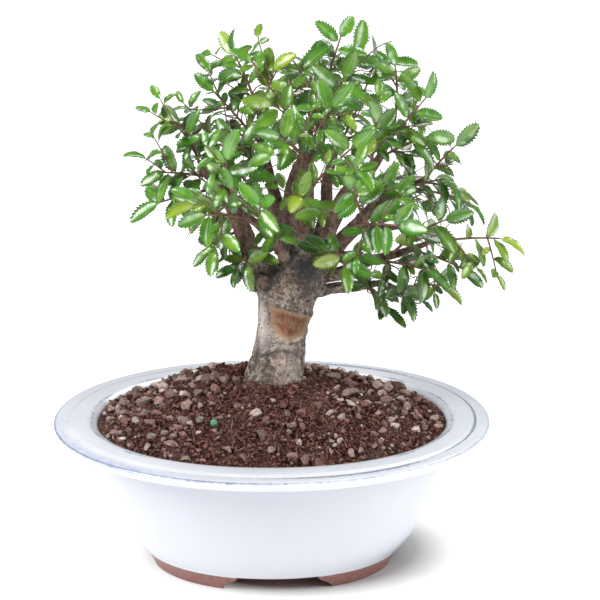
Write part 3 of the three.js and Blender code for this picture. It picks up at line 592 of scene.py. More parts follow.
def bark_material():
    """Mottled grey-brown bark with rust lenticels, dark stains and a cut scar, and painted shade round the
    cut stubs and under the scar's top edge; young wood is red-brown.
    """
    s = Shader("bark", 0.9, Specular_IOR_Level=0.2)
    young, scar, stain_and_shade = s.attribute("bark_and_shade_mask")
    pale, lichen, callus = s.attribute("bark_tone")
    along = s.stretched(1, 1, 0.35)
    cloud = s.ramp(s.noise(9, 5, 0.6, along), 0.36, 0.64)
    grey = s.blend(cloud, (0.086, 0.064, 0.048), (0.440, 0.360, 0.305))
    grey = s.over(grey, (0.74, 0.645, 0.565), s.ramp(s.noise(3.4, 5, 0.7), 0.48, 0.56), 0.7)
    grey = s.over(grey, (0.044, 0.028, 0.021), s.ramp(s.noise(1.8, 5, 0.72), 0.50, 0.58), 0.85)
    cloud = s.ramp(s.noise(4, 4, 0.6, along), 0.38, 0.62)
    smooth = s.blend(cloud, (0.44, 0.375, 0.350), (0.84, 0.76, 0.72))
    grey = s.over(grey, smooth, pale, 0.9)
    dots = s.ramp(s.cells(3.2, s.stretched(1, 1, 2.6)), 0.34, 0.2)
    dots = s.times(dots, s.ramp(s.noise(6, 2), 0.40, 0.52))
    grey = s.over(grey, (0.190, 0.066, 0.046), dots, 0.9)
    warm = s.times(s.ramp(s.noise(5.5, 4, 0.65), 0.50, 0.58), s.ramp(lichen, 0.1, 0.5, 0.15, 0.75))
    grey = s.blend(warm, grey, (0.370, 0.215, 0.170))
    spots = s.times(lichen, s.ramp(s.noise(2.6, 5, 0.75), 0.49, 0.55))
    grey = s.over(grey, (0.78, 0.70, 0.56), spots, 0.85)
    dark = s.ramp(s.noise(13, 4, 0.6, along), 0.56, 0.66, 0.0, 0.8)
    dark = s.times(dark, s.minus(1.0, pale))
    # Dark bark patches and stains, with painted shade in the cut stubs' grooves, under the upper stub and
    # under the scar's top edge
    grey = s.blend(s.larger(dark, s.times(stain_and_shade, 0.92)), grey, (0.068, 0.062, 0.065))
    grain = s.noise(2.0, 5, 0.7, s.stretched(1, 1, 0.5))
    bare = s.blend(s.ramp(grain, 0.38, 0.62), (0.200, 0.090, 0.055), (0.430, 0.235, 0.145))
    rim = s.ramp(s.plus(scar, s.times(grain, 0.35)), 0.75, 0.3)
    bare = s.over(bare, (0.620, 0.420, 0.290), rim, 0.8)
    grey = s.blend(s.ramp(scar, 0.02, 0.2), grey, bare)
    lip = s.times(callus, s.ramp(s.noise(2.2, 3), 0.35, 0.55))
    grey = s.over(grey, (0.80, 0.64, 0.46), lip, 0.9)
    cloud = s.ramp(s.noise(2.2, 4, 0.6, along), 0.3, 0.7)
    wood = s.blend(cloud, (0.070, 0.038, 0.030), (0.330, 0.215, 0.165))
    s.colour(s.blend(s.ramp(young, 0.1, 0.75), grey, wood))
    fissure = s.plus(s.noise(2.4, 5, 0.65, along), s.times(dots, 0.35))
    s.bump(s.plus(fissure, s.times(s.noise(0.8, 4, 0.7), 0.6)), 1.8)
    return s.material


def twig_material():
    s = Shader("twig", 0.6)
    tint, _, _ = s.attribute("leaf_tint_and_shade")
    brown = s.blend(s.ramp(s.noise(1.5, 3), 0.35, 0.65), (0.075, 0.036, 0.030), (0.300, 0.170, 0.110))
    s.colour(s.blend(tint, brown, (0.24, 0.22, 0.06)))
    s.bump(s.noise(0.5, 3), 0.2, 0.6)
    return s.material


def leaf_material():
    """Green blades with a light midrib and side veins, paler below, and darker inside the crown as painted
    shade. The map runs across and along a blade.
    """
    s = Shader("leaf", 0.34, Specular_IOR_Level=0.7, Coat_Weight=0.95, Coat_Roughness=0.28)
    young, tone, under = s.attribute("leaf_tint_and_shade")
    u, v, _ = s.xyz(s.add("ShaderNodeUVMap", uv_map="blade").outputs["UV"])
    reach = s.math("ABSOLUTE", s.minus(s.times(u, 2.0), 1.0))
    rib = s.ramp(reach, 0.07, 0.02)
    slant = s.minus(s.times(v, 9.0), s.times(reach, 2.2))
    wave = s.math("ABSOLUTE", s.minus(s.math("FRACT", slant), 0.5))
    vein = s.times(s.ramp(wave, 0.10, 0.02), s.ramp(reach, 1.0, 0.75))
    # Painted shade: the tone is darker for leaves deeper inside the crown
    green = s.blend(tone, (0.003, 0.040, 0.002), (0.076, 0.290, 0.002))
    green = s.blend(s.ramp(s.noise(7, 4, 0.6), 0.38, 0.68, 0.0, 0.6), green, (0.010, 0.090, 0.004))
    green = s.blend(s.ramp(s.noise(11, 3, 0.6), 0.5, 0.7, 0.0, 0.6), green, (0.190, 0.400, 0.008))
    green = s.blend(young, green, (0.40, 0.55, 0.025))
    green = s.blend(s.ramp(reach, 0.6, 1.0, 0.0, 0.45), green, (0.010, 0.065, 0.003))
    light = s.larger(s.times(rib, 0.5), s.times(vein, 0.16))
    green = s.blend(light, green, (0.34, 0.54, 0.08))
    s.colour(s.over(green, (0.090, 0.230, 0.050), under, 0.55))
    s.roughness(s.ramp(s.noise(3, 4, 0.6), 0.3, 0.7, 0.2, 0.5))
    quilt = s.times(s.minus(0.5, wave), -1.2)
    relief = s.plus(s.larger(rib, s.times(vein, 0.6)), quilt)
    s.bump(s.plus(relief, s.times(s.noise(1.4, 3), 1.3)), 0.5, -0.9)
    return s.material


def pellet_material():
    s = Shader("pellet", 0.55)
    s.colour(s.blend(s.ramp(s.noise(0.7, 4), 0.35, 0.65), (0.05, 0.22, 0.13), (0.12, 0.42, 0.26)))
    s.bump(s.noise(0.4, 3), 0.3, 0.8)
    return s.material


def plastic_material():
    s = Shader("mesh_plastic", 0.6)
    s.colour(s.blend(s.noise(3, 3), (0.012, 0.012, 0.013), (0.03, 0.03, 0.032)))
    s.bump(s.noise(0.6, 3), 0.1, 0.4)
    return s.material


def floor_material():
    """A pale table that glows as paper in a light tent does, except close round the pot, where the glow fades
    out to a painted shadow.
    """
    s = Shader("floor", 0.9, Specular_IOR_Level=0.1)
    s.colour(s.blend(s.noise(200, 2), (0.49, 0.49, 0.49), (0.51, 0.51, 0.51)))
    oval_place = {"Vector": s.place, "Location": (-0.004, -0.006, 0), "Scale": (1, 1 / WIDTH_RATIO, 1)}
    from_pot = s.add("ShaderNodeMapping", oval_place).outputs["Vector"]
    away = s.add("ShaderNodeVectorMath", {0: from_pot}, operation="LENGTH").outputs["Value"]
    # Painted shadow: no glow close round the pot, rising further out
    glow = s.plus(s.ramp(away, *SHADE_EDGE, 0.0, 0.75), s.ramp(away, *LIGHT_EDGE, 0.0, 0.35))
    s.surface.inputs["Emission Color"].default_value = (1, 1, 1, 1)
    s.put(s.surface.inputs["Emission Strength"], glow)
    return s.material


# Pot

def smooth_profile(pairs, count):
    """More points along a profile, on a smooth curve through the given ones."""
    path = [(*p, 0) for p in pairs] if len(pairs[0]) == 2 else pairs
    return [curve_point(path, i / (count - 1)) for i in range(count)]


def foot_gap(width_low, width_high, turned):
    """A block of the shape of the gap between two feet, with the S-shaped ends of the feet."""
    top = UNDERSIDE + 0.4
    low, high = width_low / 2, width_high / 2
    steps = 12
    side = [(mix(low, high, (1 - math.cos(math.pi * i / steps)) / 2), mix(0.6, top - 0.4, i / steps))
            for i in range(steps + 1)]
    side = [(low, -2)] + side + [(high, top)]
    outline = side + [(-x, z) for x, z in reversed(side)]
    shift = 0 if turned else FOOT_SHIFT
    points, faces = skin([[(x + shift, y, z) for x, z in outline] for y in (CUT_LENGTH, -CUT_LENGTH)])
    if turned:
        points = points[:, [1, 0, 2]] * np.array([-1, 1, 1])
    return points, faces


def cut(obj, points, faces):
    """Cuts a closed block out of an object."""
    block = piece("block", points, faces, None, smooth=False)
    bm = bmesh.new()
    bm.from_mesh(block.data)
    bmesh.ops.recalc_face_normals(bm, faces=bm.faces)
    bm.to_mesh(block.data)
    bm.free()
    modifier = obj.modifiers.new("cut", "BOOLEAN")
    modifier.operation = "DIFFERENCE"
    modifier.solver = "EXACT"
    modifier.object = block
    apply_modifiers(obj)
    bpy.data.objects.remove(block)


def glaze_and_shade_masks(co):
    """Where the glaze thins at the edges or shade is painted under the rim's lip and along its inner edge,
    where the clay is bare and where the blue is smeared.
    """
    x, y, z = co.T
    reach = (np.abs(x) / RIM_LENGTH) ** OVAL_POWER + (np.abs(y) / RIM_WIDTH) ** OVAL_POWER
    inset = RIM_LENGTH * (1 - reach ** (1 / OVAL_POWER))
    right = 1 / (1 + np.exp(-(x - 5) / 12))
    corner = (0.62 + 0.3 * (1 - right)) * bell(inset, 0.8, 0.8) * (z > 76.2)
    step = (0.5 + 0.7 * right) * bell(inset, 7.9, 0.75) * (z > 77.5)
    # Painted shade: a dark line on the underside of the rim's lip
    lip = 0.55 * bell(z, 72.7, 0.7) * (inset < 5)
    # Painted shade: a dark line along the rim's inner edge, where it meets the soil
    mouth_shade = 0.8 * bell(inset, 19.7, 0.8) * (z > 76.5)
    foot = 0.8 * np.exp(-((z - GLAZE_ENDS - 0.6) / 0.9) ** 2)
    thin_glaze_and_shade = np.clip(corner + step + lip + mouth_shade + foot, 0, 1)
    front_left = bell(x, -78, 34) * (y < 0)
    smear = front_left * bell(inset, 2.0, 2.6) * (z > 75)
    under = (z < UNDERSIDE + 0.6) & (inset > 40)
    low_right, low_left = np.clip((x - 33) / 19, 0, 1), np.clip((-46 - x) / 12, 0, 1)
    glaze_ends = GLAZE_ENDS - 5.1 * low_right - 3.4 * low_left
    clay = np.where((z < glaze_ends) | under, 1.0, 0.0)
    clay = np.maximum(clay, np.clip((glaze_ends + 0.5 - z), 0, 1))
    return np.column_stack([thin_glaze_and_shade, clay, np.clip(smear, 0, 1)])


def make_pot(material):
    sides = 192
    angles = 2 * math.pi * np.arange(sides) / sides

    def ring(length, width, z):
        x, y = oval(length, width, angles)
        return np.column_stack([x, y, np.full(sides, z)])

    body = smooth_profile(BODY_PROFILE, 46)
    rings = [ring(a, a * WIDTH_RATIO, z) for z, a, _ in body]
    rings += [ring(RIM_LENGTH - inset, RIM_WIDTH - inset, z) for z, inset in RIM_PROFILE]
    inner = smooth_profile(CAVITY_PROFILE, 40)[::-1]
    rings += [ring(a, b, z) for z, a, b in inner if z < 77.4]
    points, faces = skin(rings)
    pot = piece("pot_glazed", points, faces, material)
    recess_length = BODY_PROFILE[0][1] - FOOT_WIDTH
    recess_width = BODY_PROFILE[0][1] * WIDTH_RATIO - FOOT_WIDTH
    cut(pot, *skin([ring(recess_length, recess_width, -1), ring(recess_length, recess_width, UNDERSIDE)]))
    cut(pot, *foot_gap(*FRONT_GAP, False))
    cut(pot, *foot_gap(*SIDE_GAP, True))
    for x in (-DRAIN_X, DRAIN_X):
        hole = [np.column_stack([x + DRAIN_RADIUS * np.cos(angles[::4]), DRAIN_RADIUS * np.sin(angles[::4]),
                                 np.full(sides // 4, z)]) for z in (-2, FLOOR_TOP + 4)]
        cut(pot, *skin(hole))
    bevel = pot.modifiers.new("edges", "BEVEL")
    bevel.width = EDGE_BEVEL * MM
    bevel.segments = 3
    bevel.limit_method = "ANGLE"
    bevel.angle_limit = math.radians(38)
    apply_modifiers(pot)
    pot.data.shade_smooth()
    paint(pot, "glaze_and_shade_mask", glaze_and_shade_masks(coordinates(pot)))
    finish_piece(pot, "glaze", "pot")


# Soil

def soil_height(x, y):
    out = (x / SOIL_LENGTH) ** 2 + (y / SOIL_WIDTH) ** 2
    swell = 2.5 * np.exp(-((x + 35) ** 2 + (y - 20) ** 2) / 625)
    lumps = 0.7 * np.sin(x * 0.31 + 1) * np.sin(y * 0.37 + 2)
    return SOIL_EDGE + SOIL_RISE * (1 - np.minimum(1, out)) + swell + lumps * np.maximum(0, 1 - out)


def soil_relief(x, y):
    """The peat's small hollows and clods over the mound, and the soil heaped on the roots."""
    heap = 2.6 * math.exp(-((math.hypot(x - 0.5, y) - 19) / 5.5) ** 2)
    return (heap + 1.6 * rough((x, y, 0), 8, 4) + 1.3 * rough((x, y, 9), 3.2, 4)
            + 0.5 * rough((x, y, 5), 1.2, 2))


def edge_fade(reach):
    """0 at the pot's wall, rising to 1 a little way in, so that loose soil stays off the wall."""
    return min(1.0, (1 - reach) * 14)


def make_soil(material):
    steps = 76
    angles = around(220)
    rings = [level(*oval(a - GAP, b - GAP, angles), max(z, FLOOR_TOP + GAP))
             for z, a, b in CAVITY_PROFILE[:4]]
    for i in range(steps + 1):
        reach = 1 - i / steps * 0.985
        x, y = oval(SOIL_LENGTH * reach, SOIL_WIDTH * reach, angles)
        fade = edge_fade(reach)
        z = [soil_height(a, b) + fade * soil_relief(a, b) for a, b in zip(x, y)]
        rings.append(np.column_stack([x, y, z]))
    soil = piece("soil_peat", *skin(rings), material)
    co = coordinates(soil)
    grey = [max(0.0, min(1.0, 0.5 * rough(p, 14, 3, 3.1) + 0.1)) for p in co]
    paint(soil, "grain_tint", np.column_stack([grey, np.zeros(len(co)), np.zeros(len(co))]))
    for side in (-1, 1):
        corners = [(u * POCKET_SIZE, v * POCKET_SIZE) for u, v in ((-1, -1), (1, -1), (1, 1), (-1, 1))]
        cut(soil, *skin([[(side * DRAIN_X + u, v, z) for u, v in corners] for z in POCKET_HEIGHTS]))
    soil.data.shade_smooth()
    finish_piece(soil, "soil", "soil")


def solid_grains():
    """Where the packed soil's own grains of gravel lie, how big they are and how far out."""
    draw = seeded_numbers(GRAIN_SEED)
    for _ in range(GRAIN_COUNT):
        angle = 2 * math.pi * draw()
        reach = mix(*GRAIN_REACH, math.sqrt(draw()))
        radius = mix(*GRAIN_RADIUS, draw())
        for _ in range(4):
            draw()
        yield SOIL_LENGTH * reach * math.cos(angle), SOIL_WIDTH * reach * math.sin(angle), radius, reach


def unit_grain(detail):
    """The points and faces of a round ball that grains are pressed from."""
    bm = bmesh.new()
    bmesh.ops.create_icosphere(bm, subdivisions=detail, radius=1)
    bm.verts.ensure_lookup_table()
    points = np.array([v.co for v in bm.verts])
    faces = [tuple(v.index for v in f.verts) for f in bm.faces]
    bm.free()
    return points, faces


def chipped(ball, rng):
    """A ball cut flat by a few random planes and roughened, as broken stone is."""
    points = ball.copy()
    for _ in range(6):
        normal = unit(rng.normal(size=3))
        past = np.maximum(0, points @ normal - rng.uniform(0.3, 0.72))
        points -= past[:, None] * normal
    seed = rng.uniform(0, 50)
    swell = np.array([1 + 0.22 * rough(p, 0.8, 3, seed) for p in points])
    return points * swell[:, None]


def random_place(rng, nearest, furthest):
    """A random place on the soil, even over its area: x, y and how far out it is."""
    angle = rng.uniform(0, 2 * math.pi)
    reach = math.sqrt(rng.uniform(nearest, furthest))
    x, y = oval(SOIL_LENGTH * reach, SOIL_WIDTH * reach, angle)
    return float(x), float(y), reach


def gravel_fits(rng, x, y, size, placed):
    """Gravel lies in drifts, mostly towards the sides, clear of the other stones and of the pellet."""
    sides = min(1.0, abs(x + 6) / (56 if x < -6 else 76)) ** 1.2
    drift = 0.55 + 0.9 * rough((x, y, 40), 24, 2, 5.0)
    if rng.uniform() > (0.1 + 0.9 * sides) * np.clip(drift, 0.12, 1):
        return False
    if any((x - a) ** 2 + (y - b) ** 2 < (0.62 * (size + r)) ** 2 for a, b, r in placed):
        return False
    return math.hypot(x - PELLET_PLACE[0], y - PELLET_PLACE[1]) >= size + 2.4


def scatter(name, material, count, seed, sizes, tint, detail, sink, is_gravel):
    """Grains over the soil, each turned and pressed its own way, and sunk by a share of its size."""
    rng = np.random.default_rng(seed)
    ball, ball_faces = unit_grain(detail)
    parts, tints, placed = [], [], []

    def add(x, y, size, reach, press):
        turn = Matrix.Rotation(rng.uniform(0, 6.28), 3, "Z") @ Matrix.Rotation(rng.uniform(-0.9, 0.9), 3, "X")
        shaped = (chipped(ball, rng) * press * size) @ np.array(turn).T
        z = float(soil_height(x, y)) + soil_relief(x, y) * edge_fade(reach)
        parts.append((shaped + np.array([x, y, z + size * press[2] * (1 - 2 * sink)]), ball_faces))
        tints.append(np.tile(tint(rng), (len(ball), 1)))
        placed.append((x, y, size))

    if is_gravel:
        for x, y, size, reach in solid_grains():
            add(x, y, size, reach, np.array([1.0, 0.9, 0.8]))
        for x, y, size in SEEN_STONES:
            add(x, y, size, 0.5, np.array([1.2, 0.9, 0.9]))
    while len(parts) < count:
        x, y, reach = random_place(rng, 0.0, 0.95)
        size = sizes[0] * (sizes[1] / sizes[0]) ** (rng.uniform() ** (0.8 if x < -30 else 1.5))
        if math.hypot(x - 0.5, y) < ROOT_RADIUS + (size if is_gravel else 0.4 * size):
            continue
        if is_gravel and not gravel_fits(rng, x, y, size, placed):
            continue
        press = [rng.uniform(*limits) for limits in ((0.9, 1.4), (0.6, 0.95), (0.5, 0.9))]
        add(x, y, size, reach, np.array(press))
    grains = piece(name, *joined(parts), material)
    paint(grains, "grain_tint", np.vstack(tints))
    finish_piece(grains, "soil")


def pale_grain(rng):
    """Tone, warmth and darkness of a piece of gravel."""
    return rng.uniform(0.1, 1), 0.85 * rng.uniform(0, 1) ** 1.35, rng.uniform(0, 0.65) ** 2


def dark_grain(rng):
    """Tone, warmth and darkness of a crumb of peat."""
    return rng.uniform(0, 0.75), rng.uniform(0.35, 1), rng.uniform(0, 1) ** 1.3


def make_fibres(material):
    """Short roots and chips of peat that lie on the soil."""
    rng = np.random.default_rng(FIBRE_SEED)
    parts, tints = [], []
    for _ in range(FIBRE_COUNT):
        x, y, _ = random_place(rng, 0.02, 0.93)
        if math.hypot(x, y) < FIBRE_CLEARANCE:
            continue
        way, bend, length = rng.uniform(0, 6.28), rng.uniform(-0.8, 0.8), rng.uniform(1.6, 5.6)
        rise, thick = rng.uniform(0.2, 1.2), rng.uniform(0.2, 0.55)

        def point_at(t, x=x, y=y, way=way, bend=bend, length=length, rise=rise):
            a = way + bend * t
            px, py = x + length * t * math.cos(a), y + length * t * math.sin(a)
            lift = rise * (0.25 + t * (1 - t))
            return np.array([px, py, float(soil_height(px, py)) + soil_relief(px, py) + lift])

        parts.append(tube(point_at, lambda t, r=thick: r * (1 - 0.6 * t), 4, 4))
        tint = [rng.uniform(0, 0.7), rng.uniform(0.5, 1), rng.uniform(0, 0.6)]
        tints.append(np.tile(tint, (len(parts[-1][0]), 1)))
    fibres = piece("soil_fibres", *joined(parts), material)
    paint(fibres, "grain_tint", np.vstack(tints))
    finish_piece(fibres, "soil")


def make_pellet(material):
    x, y = PELLET_PLACE
    ball, faces = unit_grain(4)
    shape = np.array([p * (1 + 0.03 * rough(p, 0.4, 3)) for p in ball]) * PELLET_RADIUS
    z = float(soil_height(x, y)) + PELLET_RADIUS * 0.5
    pellet = piece("pellet_green", shape + np.array([x, y, z]), faces, material)
    finish_piece(pellet, "pellet", "fertiliser_pellet")


# Wood

def trunk_rings():
    sides, count = 72, 150
    angles = around(sides)
    levels = np.array(TRUNK_SECTIONS, float)
    last = len(levels) - 1
    rings = []
    for i in range(count + 1):
        place = i / count * last
        k = min(int(place), last - 1)
        z, middle_x, middle_y, half_x, half_y = hermite(
            levels[max(k - 1, 0)], levels[k], levels[k + 1], levels[min(k + 2, last)], place - k)
        wave = 1 + BARK_WAVE * np.sin(3 * angles + z * 0.06) * math.cos(z * 0.11)
        x, y = middle_x + half_x * wave * np.cos(angles), middle_y + half_y * wave * np.sin(angles)
        rings.append(level(x, y, z))
    return rings


def scar_places(co):
    """For each point: how far it is inside the scar's rounded outline, and how far out it faces."""
    x, y, z = co[:, 0] - SCAR_MIDDLE_X, co[:, 1], co[:, 2]
    across = x * math.cos(SCAR_TURN) + y * math.sin(SCAR_TURN)
    out = x * math.sin(SCAR_TURN) - y * math.cos(SCAR_TURN)
    points = np.column_stack([across, z])
    corners = [np.array((a, h)) for h, a in SCAR_OUTLINE]
    total = np.zeros(len(co))
    for i, start in enumerate(corners):
        edge = corners[(i + 1) % len(corners)] - start
        inward = unit(np.array([edge[1], -edge[0]]))
        total += np.exp(-np.clip((points - start) @ inward, -30, 30) / SCAR_ROUNDING)
    depth = -SCAR_ROUNDING * np.log(total)
    near = np.abs(depth) < 8
    depth[near] += [0.8 * rough(p, 4.5, 3, 7.0) for p in co[near]]
    return depth, out


def seam_height(x):
    """The height of the old graft's line across the front of the trunk."""
    return 118.6 - np.where(x < 6, 0.025, 0.07) * (x - 6) ** 2


def wood_masks(co):
    """Youth, scar, and stains with painted shade for the bark's colours."""
    x, y, z = co.T
    depth, out = scar_places(co)
    front = out > SCAR_FRONT
    scar = np.where(front, np.clip(depth / 6, 0, 1), 0)
    from_base = np.linalg.norm((co - np.array([14, 0, 155])) * np.array([1, 1, 0.9]), axis=1)
    young = np.clip((from_base - 14) / 30, 0, 1) * np.clip((z - 146) / 12, 0, 1)
    seam = z - seam_height(x)
    crevice_shade = np.zeros(len(co))
    for middle, radius in CUT_FACES:
        away = distances(co, middle)
        face = np.exp(-(away / radius) ** 4)
        scar = np.maximum(scar, 0.3 * face)
        young = np.maximum(young, 0.62 * face)
        # Painted shade in the groove round each cut stub
        crevice_shade = np.maximum(crevice_shade, bell(away, 2.3 * radius, 1.8) * (y < -4))
    # Painted shadow along the scar's top edge, under the bark that overhangs it
    scar_top_shadow = bell(depth, -0.3, 0.7) * front * (z > 131) * (z < 147)
    # Dark stains, with painted shade in the stubs' grooves, under the upper stub and along the scar's top
    # edge; darker towards the soil
    stain_and_shade = (1.1 * patch(x, z, 19, 163, 95, 95) * (y < 4)
             + 0.5 * patch(x, z, 18, 149, 24, 60) * (y < 4)
             + 0.75 * bell(seam, 0, 0.8) * (y < 6) * (np.abs(x) < SEAM_HALF_LENGTH)
             + 0.85 * crevice_shade
             # Painted shade under the upper cut stub
             + 0.9 * patch(x, z, 2, 160, 14, 9) * (y < -4)
             + 0.5 * patch(x, z, -4, 152, 30, 30) * (y < 4)
             + 0.45 * scar_top_shadow
             + 0.32 * np.clip((2 - x) / 4, 0, 1) * (seam < 0) * (y < 6)
             + 0.4 * np.clip((101 - z) / 8, 0, 1) * (z > 90))
    return np.column_stack([young, scar, np.clip(stain_and_shade, 0, 1)])


def wood_tones(co):
    """Pale smooth bark, lichen and the pale lower lip of the scar."""
    x, y, z = co.T
    depth, out = scar_places(co)
    front = y < 6
    pale = (patch(x, z, -5, 132, 46, 170) * (z > seam_height(x))
            + 0.75 * patch(x, z, 9, 110, 30, 60)
            + 0.6 * patch(x, z, 8, 121.5, 60, 3)) * front
    lichen = (patch(x, z, 5, 154, 75, 70) * front + 0.5 * patch(x, z, 7, 112, 26, 70) * front
              + 0.15 * (z < 116))
    lip = bell(depth, -0.2, 0.7) * (out > SCAR_FRONT) * (z < 134) * (z > 115)
    return np.clip(np.column_stack([pale, lichen, lip]), 0, 1)


def make_wood(material):
    parts = [skin(trunk_rings())]
    parts += [tapered(path, radii, 20, 44) for _, path, radii, _, _ in LIMBS]
    parts += [tapered(path, radii, 20, 24) for path, radii in BARE_WOOD]
    wood = piece("trunk_bark", *joined(parts), material)
    remesh = wood.modifiers.new("fuse", "REMESH")
    remesh.mode = "VOXEL"
    remesh.voxel_size = BARK_VOXEL * MM
    apply_modifiers(wood)
    wood.modifiers.new("smooth", "SMOOTH").iterations = 5
    apply_modifiers(wood)
    co = coordinates(wood)
    normal = normals_of(wood)
    depth, out = scar_places(co)
    facing = (out > SCAR_FRONT) & (normal[:, 1] < 0.35) & (co[:, 2] < 148)
    sunk = SCAR_DEPTH * np.clip(depth / 0.8, 0, 1)
    co -= normal * np.where(facing, sunk, 0)[:, None]
    x, y, z = co.T
    roll = np.where(facing, 0.9 * bell(depth, -0.9, 0.9), 0)
    amount = mix(1.0, 0.25, np.clip((distances(co, (14, 0, 150)) - 20) / 60, 0, 1))
    relief = np.array([0.55 * rough((a, b, c * 0.5), 6.5, 4) + 0.3 * rough((a, b, c * 0.8), 2.2, 3, 2.0)
                       for a, b, c in co])
    for middle, radius in CUT_FACES:
        away = distances(co, middle)
        pitted = [0.9 * rough(p, 2.2, 3, 11.0) if near else 0.0 for p, near in zip(co, away < 2.4 * radius)]
        relief += np.array(pitted) - 0.7 * bell(away, 2.3 * radius, 1.6) * (y < -4)
    seam = np.where((y < 6) & (np.abs(x) < SEAM_HALF_LENGTH), -0.8 * bell(z, seam_height(x), 0.8), 0)
    relief = np.where(depth > 0.4, relief * np.where(facing, 0.45, 1), relief)
    co += normal * (relief * amount + roll + seam)[:, None]
    move_vertices(wood, co)
    paint(wood, "bark_and_shade_mask", wood_masks(co))
    paint(wood, "bark_tone", wood_tones(co))
    wood.data.shade_smooth()
    finish_piece(wood, "bark", "trunk")


# Sprays

def twig_point(path, t):
    a = mix(path[0], path[1], t)
    b = mix(path[1], path[2], t)
    return mix(a, b, t)


def twig_way(path, t):
    return unit(twig_point(path, t + 0.02) - twig_point(path, t - 0.02))


def light_way(point):
    outward = unit(point - CROWN_CENTRE)
    return np.array([LIGHT_OUTWARD * outward[0], LIGHT_OUTWARD * outward[1] - LIGHT_FRONT, LIGHT_UP])


def twig_frame(path, t):
    way, point = twig_way(path, t), twig_point(path, t)
    up = light_way(point)
    up = unit(up - way * (up @ way))
    return point, way, up, np.cross(up, way)


def draw_twig(draw, start, tip, stray):
    end = tip + np.array([(draw() - 0.5) * stray for _ in range(3)])
    sway = TWIG_SWAY * np.linalg.norm(end - start)
    middle = mix(start, end, 0.5)
    middle[0] += (draw() - 0.5) * sway
    middle[1] += (draw() - 0.5) * sway
    middle[2] += (TWIG_RISE + draw()) * sway / 2
    return [start, middle, end]


def draw_leaf(draw, path, place, side, loose=1.0, rise=0.0):
    at = 1 if side == 0 else place + (draw() - 0.5) * LEAF_SHIFT
    point, way, _, _ = twig_frame(path, at)
    facing = unit(light_way(point) + loose * np.array([spread * (draw() - 0.5) for spread in FACING_SPREAD])
                  + np.array([0.0, 0.0, rise]))
    sideways = unit(np.cross(facing, way))
    spread = END_LEAF_STRAY * (draw() - 0.5) if side == 0 else side * mix(*LEAF_SPREAD, draw())
    ahead = way * math.cos(spread) + sideways * math.sin(spread)
    ahead = ahead - facing * (LEAF_TURN * (ahead @ facing))
    ahead[2] += DROOP_SPREAD * (draw() - 0.5) - LEAF_DROOP
    ahead = unit(ahead)
    up = unit(facing - ahead * (facing @ ahead))
    length = mix(*LEAF_LENGTH, draw()) * (INNER_LEAF_SIZE if place < 0.5 else 1)
    return {"at": at, "side": side, "ahead": ahead, "up": up, "length": length}


def leaf_base(path, leaf):
    at, side = leaf["at"], leaf["side"]
    if side == 0:
        return twig_point(path, 1)
    step = TWIG_HALF_WIDTH / np.linalg.norm(path[2] - path[0])
    ends = []
    for t in (at + side * step, at - side * step):
        point, _, _, left = twig_frame(path, t)
        ends.append(point + left * side * TWIG_HALF_WIDTH)
    return (ends[0] + ends[1]) / 2


def node_tree(name):
    """A search tree over a solid's faces, in millimetres round the pot's axis."""
    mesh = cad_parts[name].data
    points = [Vector(np.array(v.co) / MM - SHIFT) for v in mesh.vertices]
    return BVHTree.FromPolygons(points, [tuple(p.vertices) for p in mesh.polygons])


def lies_on(tree, points, reach):
    return all((tree.find_nearest(Vector(p))[3] or 0) <= reach for p in points)


def find_spray(index, limb, order):
    """Draws again as the solids were drawn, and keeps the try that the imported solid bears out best."""
    name, path, _, twigs_from, tips = limb
    tree = node_tree(f"spray_{name}_{order + 1}")
    share = order / (len(tips) - 1) if len(tips) > 1 else 1
    start = curve_point(path, mix(twigs_from, 1, share) - 0.01)
    tip = np.array(tips[order], float)
    count = math.floor(np.linalg.norm(tip - start) / LEAF_SPACING + 0.5)
    count = min(LATERAL_LEAVES[1], max(LATERAL_LEAVES[0], count))
    best = None
    for attempt in range(TWIG_TRIES):
        draw = seeded_numbers(FIRST_SEED + index + SEEDS_PER_TRY * attempt)
        twig = draw_twig(draw, start, tip, TIP_STRAY * attempt)
        if not lies_on(tree, [twig_point(twig, t) for t in (0.5, 0.65, 0.8)], TWIG_MISS):
            continue
        leaves = []
        for i in range(count + 1):
            side = 0 if i == count else 2 * (i % 2) - 1
            place = 1 if i == count else mix(FIRST_LEAF_AT, LAST_LEAF_AT, i / (count - 1))
            for _ in range(LEAF_TRIES):
                leaf = draw_leaf(draw, twig, place, side)
                base = leaf_base(twig, leaf)
                probes = [base + leaf["ahead"] * leaf["length"] * s for s in (0.5, 0.8, 0.97)]
                if lies_on(tree, probes, LEAF_MISS):
                    leaves.append({**leaf, "base": base})
                    break
        if best is None or len(leaves) > len(best[1]):
            best = (twig, leaves)
        if len(leaves) == count + 1:
            break
    if best is None or not best[1]:
        raise SystemExit(f"no twig found for {name} {order + 1}")
    return best


# The blade's stations: how far along, and whether the edge is a tooth's tip or its notch
TEETH = 9
STATIONS = [(0.0, 0)] + [(s, k) for i in range(TEETH) for s, k in
                         (((i + 0.72) / (TEETH + 0.6), 1), ((i + 1.02) / (TEETH + 0.6), 0))] + [(1.0, 0)]
ACROSS = (-1, -0.5, 0, 0.5, 1)


def blade_width(s):
    """Half width of a blade along its length, at most 1."""
    return (s ** 0.6) * ((1 - s) ** 0.72) / 0.4051 if 0 < s < 1 else 0.0


